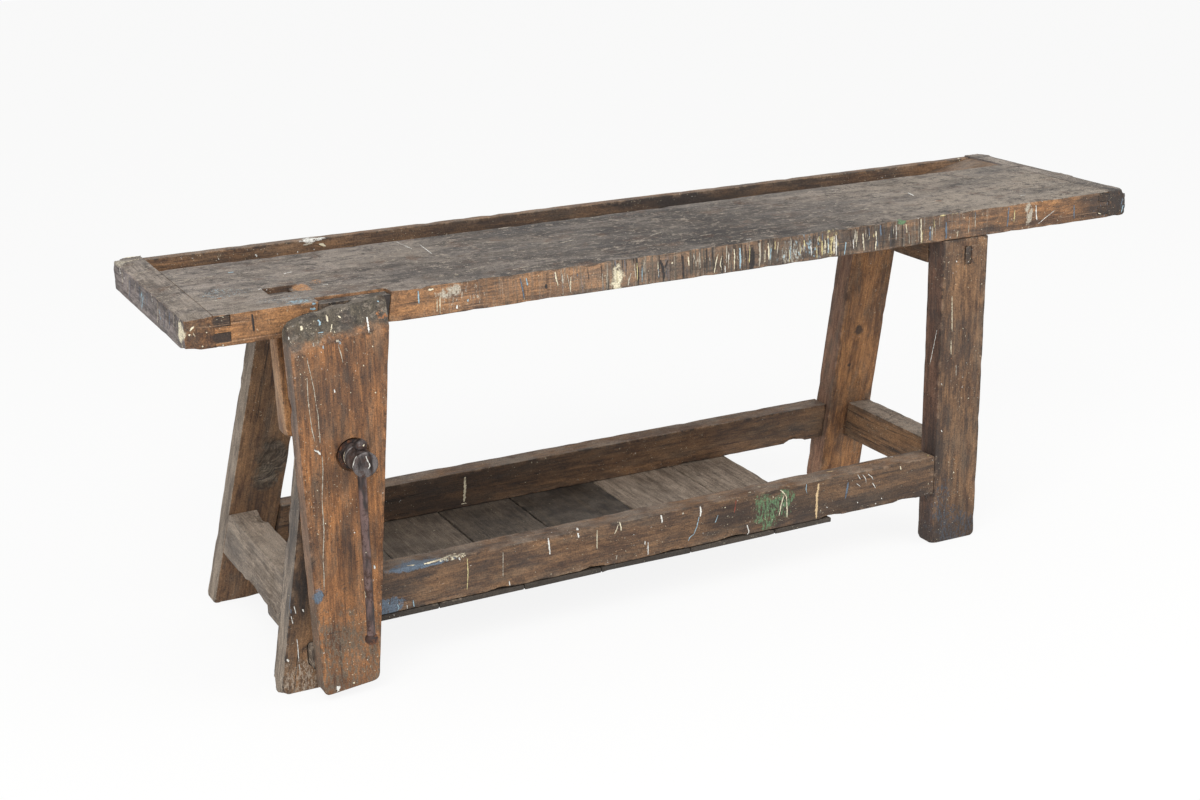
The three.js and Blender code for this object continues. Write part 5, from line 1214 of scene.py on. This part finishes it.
class BENCH_OT_trestles(bpy.types.Operator):
    """Build the two trestles: legs, top bearers and side stretchers"""

    bl_idname = "bench.trestles"
    bl_label = "Trestles"

    def execute(self, context):
        c = context.scene.bench_wood
        oak = (c.oak_dark, c.oak_light)
        dusty = (c.dusty_dark, c.dusty_light)

        vise_leg = Wood(*oak, LEANING, 0.97, 0.3, outer=dusty, upper=(c.top_dark, c.top_light), end=0.3)
        vise_leg.smears = (((-0.91, FRONT, 0.02), (0.08, 0.05, 0.05), c.dusty_light, 0.4),)
        # The nearly black spot on the leg's head, seen through the notch above the chop, is a painted shadow
        # in the gap.
        vise_leg.dark_spots = (((-0.80, -0.18, 0.772), (0.13, 0.06, 0.016)),)
        corners = foot_corners(-0.971, -0.831, FRONT, FRONT_LEG_BACK, 0.012)
        add_timber("vise_leg", vise_leg, "dusty_oak", 7, corners=corners)

        rear = Wood(*oak, LEANING_AND_SPLAYED, 0.38, 0.3, outer=dusty)
        rear.soot = (
            # This first patch darkens the torn hollow: dirt, and painted shade in the hollow.
            ((-0.822, 0.215, 0.34), (0.035, 0.1, 0.05), 1.0),
            ((-0.86, 0.23, 0.24), (0.05, 0.1, 0.04), 0.9),
            ((-0.85, 0.20, 0.45), (0.02, 0.1, 0.12), 0.5),
        )
        rear.splinters = (
            ((-0.826, 0.217, 0.332), (0.036, 0.09, 0.048)),
            ((-0.85, 0.225, 0.29), (0.03, 0.09, 0.03)),
        )
        torn = (
            ((-0.832, 0.212, 0.362), 0.026, 0.013),
            ((-0.830, 0.217, 0.334), 0.028, 0.016),
            ((-0.842, 0.222, 0.306), 0.028, 0.013),
        )
        corners = foot_corners(-0.963, -0.85, 0.2835, 0.3435)
        add_timber("left_rear_leg", rear, "oiled_oak", 8, gouges=torn, tear=1.2, corners=corners)

        # The leg's inner side takes the shaded oak tones: painted shade.
        front = Wood(*oak, UP, 0.9, 0.2, 0.7, black_below=(0.14, -0.02), outer=(c.shaded_inner_dark, c.shaded_inner_light))
        front.smears = (
            ((0.64, FRONT, 0.03), (0.07, 0.03, 0.05), c.inky, 0.42),
            ((0.60, -0.19, 0.10), (0.03, 0.03, 0.07), c.inky, 0.4),
        )
        front.soot = (
            ((0.58, -0.2, 0.22), (0.03, 0.06, 0.12), 0.9),
            ((0.585, -0.2, 0.5), (0.012, 0.03, 0.25), 0.6),
        )
        corners = foot_corners(*RIGHT_LEG_SIDES, FRONT, FRONT_LEG_BACK)
        add_timber("right_front_leg", front, "oiled_oak", 9, corners=corners)

        knots = ((0.632, 0.177, 0.411), 0.015), ((0.619, 0.196, 0.32), 0.006)
        knotty = Wood(c.chop_dark, c.edge_light, SPLAYED, 0.45, 0.2, 0.3, film=0.6, knots=knots)
        knotty.outer = (c.plum_dark, c.plum_light)
        knotty.soot = (((0.62, 0.21, 0.22), (0.08, 0.1, 0.05), 0.7),)
        corners = foot_corners(*RIGHT_LEG_SIDES, 0.2595, 0.3195)
        add_timber("right_rear_leg", knotty, "oiled_oak", 10, corners=corners)
        add_timber("left_top_bearer", Wood(*oak, ACROSS), "oiled_oak", 11)
        add_timber("right_top_bearer", Wood(*oak, ACROSS, 0.9, end=0.6), "oiled_oak", 12)
        split = (
            ((-0.870, 0.190, 0.216), 0.03, 0.012),
            ((-0.942, 0.05, STRETCHER_FOOT), 0.04, 0.006),
            ((-0.942, -0.08, STRETCHER_FOOT), 0.03, 0.008),
            ((-0.942, 0.2, 0.216), 0.03, 0.005),
        )
        left_side = Wood(*dusty, ACROSS, 0.38, 0.6)
        add_timber("left_side_stretcher", left_side, "dusty_oak", 13, gouges=split, tear=0.8)
        right_side = Wood(*oak, ACROSS, 0.7, 0.6, film=0.5, upper=dusty)
        add_timber("right_side_stretcher", right_side, "dusty_oak", 14)
        return {"FINISHED"}


class BENCH_OT_shelf(bpy.types.Operator):
    """Build the long stretchers and the shelf boards under them"""

    bl_idname = "bench.shelf"
    bl_label = "Stretchers and shelf"

    def execute(self, context):
        c = context.scene.bench_wood
        paint = context.scene.bench_paint
        front = Wood(c.oak_dark, c.oak_light, grime=0.8, dust=0.5, specks=0.8)
        front.stains = ((0.1, 0), (0.3, 0.1), (0.45, 0.45), (0.58, 0.95), (0.75, 0.9), (0.85, 0.7))
        front.smears = (
            ((-0.680, FRONT, 0.212), (0.075, 0.03, 0.008), paint.slate, 0.75),
            ((-0.740, FRONT, 0.140), (0.030, 0.03, 0.018), paint.slate, 0.6),
            ((-0.600, FRONT, 0.214), (0.030, 0.02, 0.005), paint.cream, 0.4),
            ((0.130, FRONT, 0.166), (0.026, 0.03, 0.048), paint.green, 0.46),
            ((0.172, FRONT, 0.182), (0.028, 0.03, 0.030), paint.green, 0.44),
        )
        depths = {-0.5: 0.004, -0.29: 0.006, -0.1: 0.004, 0.05: 0.007, 0.3: 0.005, 0.5: 0.004}
        knocked = tuple(((x, FRONT, STRETCHER_FOOT), 0.03, depth) for x, depth in depths.items())
        add_timber("front_stretcher", front, "oiled_oak", 15, gouges=knocked)

        rear = Wood(c.oak_dark, c.oak_light, grime=0.9, dust=0.6)
        rear.stains = ((0.1, 0.7), (0.2, 0.9), (0.38, 0.8), (0.5, 0.45), (0.7, 0.25), (0.8, 0.3))
        bitten = ((0.50, 0.246, STRETCHER_FOOT), 0.03, 0.012), ((0.2, 0.246, STRETCHER_FOOT), 0.03, 0.004)
        add_timber("rear_stretcher", rear, "oiled_oak", 16, gouges=bitten)

        # Each board's share of the dusty tone and its share of grime, from the left.
        boards = (0.4, 0.4), (0.7, 0.3), (0.1, 0.7), (-0.4, 1.0), (1.95, 0.2), (1.85, 0.25)
        for number, (pale, dirty) in enumerate(boards, start=1):
            dark = Vector(c.shelf_dark).lerp(Vector(c.dusty_dark), pale * 0.6)
            light = Vector(c.shelf_light).lerp(Vector(c.dusty_light), pale * 0.6)
            board = Wood(tuple(dark), tuple(light), ACROSS, dirty, 0.2, 0.3)
            board.upper_stains = ((0, dirty * 0.7), (1, dirty * 0.7))
            # The dark strip along each board's front end is a painted shadow under the front stretcher.
            board.smears = (((0, FRONT, 0.115), (2, 0.025, 0.02), c.shelf_dark, 0.95),)
            add_timber(f"shelf_board_{number}", board, "shelf_wood", 16 + number)
        return {"FINISHED"}


class BENCH_OT_stop(bpy.types.Operator):
    """Build the planing stop"""

    bl_idname = "bench.stop"
    bl_label = "Planing stop"

    def execute(self, context):
        c = context.scene.bench_wood
        stop = Wood(c.edge_dark, c.edge_light, UP, 0.5, 0.1, 0.3, film=0.15)
        stop.outer = (c.pale_dark, c.pale_light)
        # The stop's top, the floor of its hole, is nearly black: painted shade.
        stop.upper = (c.grime, c.top_dark)
        rounded = (((-0.9057, -0.1145, 0.489), 0.02, 0.008),)
        add_timber("planing_stop", stop, "pale_wood", 24, body="stop", edge_round=0.006, gouges=rounded)
        return {"FINISHED"}


class BENCH_OT_vise_wood(bpy.types.Operator):
    """Build the chop of the vise and its parallel guide"""

    bl_idname = "bench.vise_wood"
    bl_label = "Vise chop and guide"

    def execute(self, context):
        c = context.scene.bench_wood
        low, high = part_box("screw_washer")
        around = ((low + high) / 2, 0.06)
        chop = Wood(c.chop_dark, c.chop_light, UP, grime=0.7, specks=0.7, end=0.2, film=0.45)
        chop.outer = (c.side_dark, c.side_light)
        chop.upper = (c.bevel_dark, c.bevel_light)
        chop.upper_above = ((-0.93, 0.706), HEAD_SLOPE)
        chop.flecks = 0.5
        chop.soot = self.chop_soot_and_shadows()
        chop.smears = self.chop_smears(c, context.scene.bench_paint)
        rough_head = tuple(
            ((x, -0.258, 0.735 + HEAD_SLOPE * (x - HEAD_LEFT)), 0.03, depth)
            for x, depth in ((-0.92, 0.004), (-0.87, 0.005), (-0.82, 0.004), (-0.77, 0.005))
        )
        crest = tuple(
            ((x, -0.236, 0.752 + HEAD_SLOPE * (x - HEAD_LEFT)), 0.05, rise)
            for x, rise in ((-0.87, 0.007), (-0.83, 0.009), (-0.79, 0.009), (-0.75, 0.01))
        )
        wear = {"shortest": 0.004, "clear_of": around, "gouges": rough_head, "raised": crest, "tear": 1.0}
        add_timber("vise_chop", chop, "chop_wood", 25, body="jaw", **wear)
        guide = Wood(c.dusty_dark, c.dusty_light, ACROSS, 0.8, 0.3)
        add_timber("parallel_guide", guide, "oiled_oak", 26, body="jaw", shortest=0.003)
        return {"FINISHED"}

    def chop_soot_and_shadows(self):
        return (
            # This streak beside the hanging tommy bar is a painted shadow of the bar.
            ((-0.838, CHOP_FACE, 0.300), (0.016, 0.05, 0.130), 0.85),
            ((-0.800, CHOP_FACE, 0.260), (0.008, 0.05, 0.100), 0.5),
            # The dark round the screw head is painted shade in the recess it sits in.
            ((-0.845, CHOP_FACE, 0.450), (0.036, 0.05, 0.034), 0.9),
            ((-0.830, CHOP_FACE, 0.685), (0.100, 0.05, 0.026), 0.5),
            ((-0.900, CHOP_FACE, 0.695), (0.035, 0.05, 0.020), 0.8),
            ((-0.738, CHOP_FACE, 0.690), (0.014, 0.05, 0.050), 1.0),
            ((-0.850, CHOP_FACE, 0.125), (0.050, 0.05, 0.035), 0.6),
            ((-0.860, CHOP_FACE, 0.015), (0.110, 0.05, 0.050), 0.85),
            ((-0.850, CHOP_FACE, 0.320), (0.002, 0.05, 0.040), 1.0),
            ((-0.868, CHOP_FACE, 0.090), (0.002, 0.05, 0.050), 1.0),
            ((-0.880, CHOP_FACE, 0.143), (0.025, 0.05, 0.002), 1.0),
        )

    def chop_smears(self, wood, paint):
        return (
            ((-0.905, CHOP_FACE, 0.222), (0.010, 0.02, 0.015), paint.slate, 0.95),
            ((-0.850, CHOP_FACE, 0.060), (0.110, 0.05, 0.130), wood.shelf_light, 0.42),
            ((-0.860, -0.2700, 0.715), (0.030, 0.03, 0.012), paint.sky, 0.2),
            ((-0.745, -0.2600, 0.748), (0.010, 0.03, 0.008), paint.orange, 0.35),
        )


class BENCH_OT_vise_iron(bpy.types.Operator):
    """Build the screw of the vise, its washer, tommy bar and knobs"""

    bl_idname = "bench.vise_iron"
    bl_label = "Vise ironwork"

    def execute(self, context):
        metal = context.scene.bench_metal
        steel = iron_surface("dark_steel", metal.steel, metal.soot, metal.old_rust, 0.5, 0.7)
        rusty = iron_surface("rusty_iron", metal.old_rust, metal.soot, metal.rust, 0.35, 0.4)
        brown = iron_surface("brown_iron", metal.brown, metal.soot, metal.old_rust, 0.4, 0.2)
        self.screw(context, steel)
        for node, body, slot, material in (
            ("tommy_bar", "bar", "dark_steel", brown),
            ("lower_bar_knob", "bar", "rusty_iron", rusty),
            ("upper_bar_knob", "bar", "rusty_iron", steel),
            ("screw_washer", "jaw", "rusty_iron", rusty),
            ("screw_nut", "bench", "rusty_iron", rusty),
            ("screw_garter", "jaw", "dark_steel", steel),
        ):
            bm = merged_copy(node)
            add_piece(bm, "forged_" + node, body, slot, material, [node])
        for name, node in frame["nodes"].items():
            if any(word in name for word in ("nail", "bolt", "garter_screw", "nut_screw")):
                node.data.materials.clear()
                node.data.materials.append(rusty)
        return {"FINISHED"}

    def screw(self, context, steel):
        """The head is the solid's own, and the thread is spun along its axis."""
        sizes = context.scene.bench_sizes
        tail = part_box("vise_screw")[1].y
        washer_low, washer_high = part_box("screw_washer")
        axis = (washer_low + washer_high) / 2
        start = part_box("screw_garter")[1].y + sizes.thread_start
        bm = merged_copy("vise_screw")
        cut = [*bm.verts, *bm.edges, *bm.faces]
        bmesh.ops.bisect_plane(
            bm, geom=cut, plane_co=(0, start, 0), plane_no=ACROSS, dist=1e-6, clear_outer=True
        )
        bmesh.ops.holes_fill(bm, edges=[e for e in bm.edges if e.is_boundary])
        thread = bmesh.new()
        lead = sizes.thread_lead
        radii = (sizes.thread_core, sizes.thread_outside)
        made = []
        for part, level in THREAD_PROFILE:
            made.append(thread.verts.new((axis.x + radii[level], start + part * lead, axis.z)))
        edges = [thread.edges.new(pair) for pair in zip(made, made[1:])]
        turns = int((tail - start - lead) / lead)
        bmesh.ops.spin(
            thread,
            geom=[*made, *edges],
            cent=axis,
            axis=-ACROSS,
            dvec=ACROSS * (lead / THREAD_STEPS),
            angle=math.tau * turns,
            steps=THREAD_STEPS * turns,
        )
        bmesh.ops.remove_doubles(thread, verts=thread.verts, dist=1e-6)
        bmesh.ops.holes_fill(thread, edges=[e for e in thread.edges if e.is_boundary])
        bmesh.ops.recalc_face_normals(thread, faces=thread.faces)
        spun = bpy.data.meshes.new("thread")
        thread.to_mesh(spun)
        thread.free()
        bm.from_mesh(spun)
        bpy.data.meshes.remove(spun)
        add_piece(bm, "forged_vise_screw", "screw", "dark_steel", steel, ["vise_screw"])


class BENCH_OT_paint(bpy.types.Operator):
    """Build the runs, drips and dabs of old paint"""

    bl_idname = "bench.paint"
    bl_label = "Paint runs"

    def execute(self, context):
        paints = context.scene.bench_paint
        worn = {}
        for piece in context.scene.objects:
            for node in piece.get("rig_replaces", ()):
                worn[node] = piece
        surfaces = {}
        drips = self.small_drips(context)
        for node, tones in PAINT_RUNS.items():
            carrier = worn[node]
            tree = self.surface_of(carrier)
            for tone, runs in tones.items():
                if node == "top_slab":
                    runs = (*runs, *drips.get(tone, ()))
                if tone not in surfaces:
                    surfaces[tone] = paint_surface(tone + "_paint", getattr(paints, tone))
                bm = bmesh.new()
                rim = bm.verts.layers.float.new("rim")
                for number, (width, *places) in enumerate(runs):
                    path = [self.place_on(context, tree, place) for place in places]
                    self.run(context, bm, rim, tree, path, width / 1000, number)
                bmesh.ops.recalc_face_normals(bm, faces=bm.faces)
                slot = carrier["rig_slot"]
                add_piece(bm, f"{tone}_paint_on_{node}", carrier["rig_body"], slot, surfaces[tone])
        return {"FINISHED"}

    def small_drips(self, context):
        """Seeded thin drips from the top's front edge, thickest right of the middle, by their colour."""
        chance = random.Random(DRIP_SEED)
        drips = {}
        for _ in range(context.scene.bench_sizes.drip_count):
            x = chance.triangular(*DRIP_STRETCH)
            start = chance.uniform(*DRIP_START)
            end = start - chance.uniform(*DRIP_LENGTH)
            tone = chance.choice(DRIP_TONES)
            width = chance.uniform(*DRIP_WIDTH)
            foot = (x + chance.uniform(-2, 2), FRONT * 1000, max(end, DRIP_LOWEST))
            drips.setdefault(tone, []).append((width, (x, FRONT * 1000, start), foot))
        return drips

    def surface_of(self, carrier):
        bm = bmesh.new()
        bm.from_mesh(carrier.data)
        tree = BVHTree.FromBMesh(bm)
        bm.free()
        return tree

    def place_on(self, context, tree, place):
        """A noted place in metres: for a pixel, where its line of sight meets the piece or passes it."""
        if len(place) == 3:
            return Vector(place) / 1000
        eye = Vector(CAMERA_PLACE)
        sight = line_of_sight(place, context.scene.bench_stage.lens)
        met = tree.ray_cast(eye, sight)[0]
        if met is None:
            met = tree.find_nearest(eye)[0]
            for _ in range(SIGHT_STEPS):
                met = tree.find_nearest(eye + sight * (met - eye).dot(sight))[0]
        return met

    def run(self, context, bm, rim, tree, path, width, number):
        """One run of paint: flat rings along its path, each drawn from the last."""
        sizes = context.scene.bench_sizes
        total = sum((b - a).length for a, b in zip(path, path[1:]))
        steps = max(4, min(24, round(total / sizes.paint_step)))
        cap = None
        for step in range(steps + 1):
            share = step / steps
            point, heading = self.along(path, total * share)
            place, normal, _, _ = tree.find_nearest(point)
            side = normal.cross(heading).normalized()
            swell = math.sin(math.pi * min(1.0, 0.06 + share * 0.94)) ** 0.35
            bead = 1.0 + 0.3 * share**4
            ripple = Vector((number * 7.7, step * 0.7, width * 900))
            uneven = [1 + 0.45 * noise.noise(ripple + ALONG * 9 * k) for k in (0, 1)]
            reach = [width / 2 * swell * bead * share_of_side for share_of_side in uneven]
            ring = []
            for corner in range(8):
                angle = math.tau * corner / 8
                out = math.cos(angle)
                spread = side * out * reach[out < 0]
                ring.append((place + spread + normal * math.sin(angle) * sizes.paint_thick, abs(out)))
            if cap is None:
                made = bmesh.ops.create_circle(bm, cap_ends=True, segments=8, radius=width)
                verts = made["verts"]
                cap = verts[0].link_faces[0]
            else:
                cap = bmesh.ops.extrude_discrete_faces(bm, faces=[cap])["faces"][0]
                verts = [loop.vert for loop in cap.loops]
            for vert, (spot, outer) in zip(verts, ring):
                vert.co = spot
                vert[rim] = outer

    def along(self, path, distance):
        """The point at a distance along a path, and the heading there."""
        for start, end in zip(path, path[1:]):
            stretch = (end - start).length
            if distance <= stretch or end == path[-1]:
                heading = (end - start).normalized()
                return start + heading * min(distance, stretch), heading
            distance -= stretch
        return path[-1], -UP


class BENCH_OT_stage(bpy.types.Operator):
    """Build the pale floor, the soft lamps and the camera"""

    bl_idname = "bench.stage"
    bl_label = "Stage"

    def execute(self, context):
        settings = context.scene.bench_stage
        bm = bmesh.new()
        bmesh.ops.create_circle(bm, cap_ends=True, segments=96, radius=FLOOR_RADIUS)
        mesh = bpy.data.meshes.new("floor")
        bm.to_mesh(mesh)
        bm.free()
        mesh.materials.append(self.floor_surface(settings))
        floor = bpy.data.objects.new("floor", mesh)
        context.scene.collection.objects.link(floor)
        self.sky(context, settings)
        self.lamp(context, "key", settings.key_power, KEY_PLACE)
        self.lamp(context, "fill", settings.fill_power, FILL_PLACE)
        self.camera(context, settings)
        context.scene.view_settings.view_transform = "Standard"
        return {"FINISHED"}

    def floor_surface(self, settings):
        """White to the eye apart from the shadow, and a pale matt floor to the light."""
        s = Surface(bpy.data.materials.new("pale_floor"))
        seen = self.seen_ray(s)
        matt = s.node("ShaderNodeBsdfDiffuse", {"Color": settings.floor})
        white = s.node("ShaderNodeEmission", {"Color": (1, 1, 1), "Strength": 1.0})
        amount = s.math("MULTIPLY", seen, 0.88)
        both = s.node("ShaderNodeMixShader", {0: amount, 1: matt.outputs[0], 2: white.outputs[0]})
        s.node("ShaderNodeOutputMaterial", {"Surface": both.outputs[0]})
        return s.owner

    def seen_ray(self, s):
        rays = s.node("ShaderNodeLightPath").outputs
        seen = s.math("MAXIMUM", rays["Is Camera Ray"], rays["Is Glossy Ray"])
        return s.math("MAXIMUM", seen, rays["Is Transmission Ray"])

    def sky(self, context, settings):
        context.scene.world = bpy.data.worlds.new("studio")
        s = Surface(context.scene.world)
        strength = s.span(self.seen_ray(s), 0.0, 1.0, settings.sky_strength, 1.0)
        light = s.node("ShaderNodeBackground", {"Color": (1, 1, 1), "Strength": strength})
        s.node("ShaderNodeOutputWorld", {"Surface": light.outputs[0]})

    def lamp(self, context, name, power, place):
        data = bpy.data.lights.new(name, "AREA")
        data.energy = power
        data.size = LAMP_WIDTH
        lamp = bpy.data.objects.new(name, data)
        lamp.location = place
        aim = LAMP_AIM - Vector(place)
        lamp.rotation_euler = aim.to_track_quat("-Z", "Y").to_euler()
        context.scene.collection.objects.link(lamp)

    def camera(self, context, settings):
        data = bpy.data.cameras.new("viewpoint")
        data.lens = settings.lens
        data.sensor_width = SENSOR_WIDTH
        data.shift_x, data.shift_y = CAMERA_SHIFT
        camera = bpy.data.objects.new("viewpoint", data)
        camera.matrix_world = Matrix.Translation(CAMERA_PLACE) @ camera_turn()
        context.scene.collection.objects.link(camera)
        context.scene.camera = camera


class BENCH_PT_sidebar(bpy.types.Panel):
    """Lists the steps that build the bench"""

    bl_idname = "BENCH_PT_sidebar"
    bl_label = "Joiner's Bench"
    bl_space_type = "VIEW_3D"
    bl_region_type = "UI"
    bl_category = "Bench"

    def draw(self, context):
        for step in STEPS:
            self.layout.operator(step.bl_idname)


STEPS = (
    BENCH_OT_top,
    BENCH_OT_trestles,
    BENCH_OT_shelf,
    BENCH_OT_stop,
    BENCH_OT_vise_wood,
    BENCH_OT_vise_iron,
    BENCH_OT_paint,
    BENCH_OT_stage,
)
GROUPS = {
    "bench_sizes": BenchSizes,
    "bench_wood": WoodColours,
    "bench_paint": PaintColours,
    "bench_metal": MetalColours,
    "bench_stage": StageSettings,
}


def register():
    for name, group in GROUPS.items():
        bpy.utils.register_class(group)
        setattr(bpy.types.Scene, name, PointerProperty(type=group))
    for made in (*STEPS, BENCH_PT_sidebar):
        bpy.utils.register_class(made)


def unregister():
    for made in (BENCH_PT_sidebar, *reversed(STEPS)):
        bpy.utils.unregister_class(made)
    for name, group in reversed(GROUPS.items()):
        delattr(bpy.types.Scene, name)
        bpy.utils.unregister_class(group)


def main():
    register()
    bpy.ops.bench.top()
    bpy.ops.bench.trestles()
    bpy.ops.bench.shelf()
    bpy.ops.bench.stop()
    bpy.ops.bench.vise_wood()
    bpy.ops.bench.vise_iron()
    bpy.ops.bench.paint()
    bpy.ops.bench.stage()


if __name__ == "__main__":
    main()
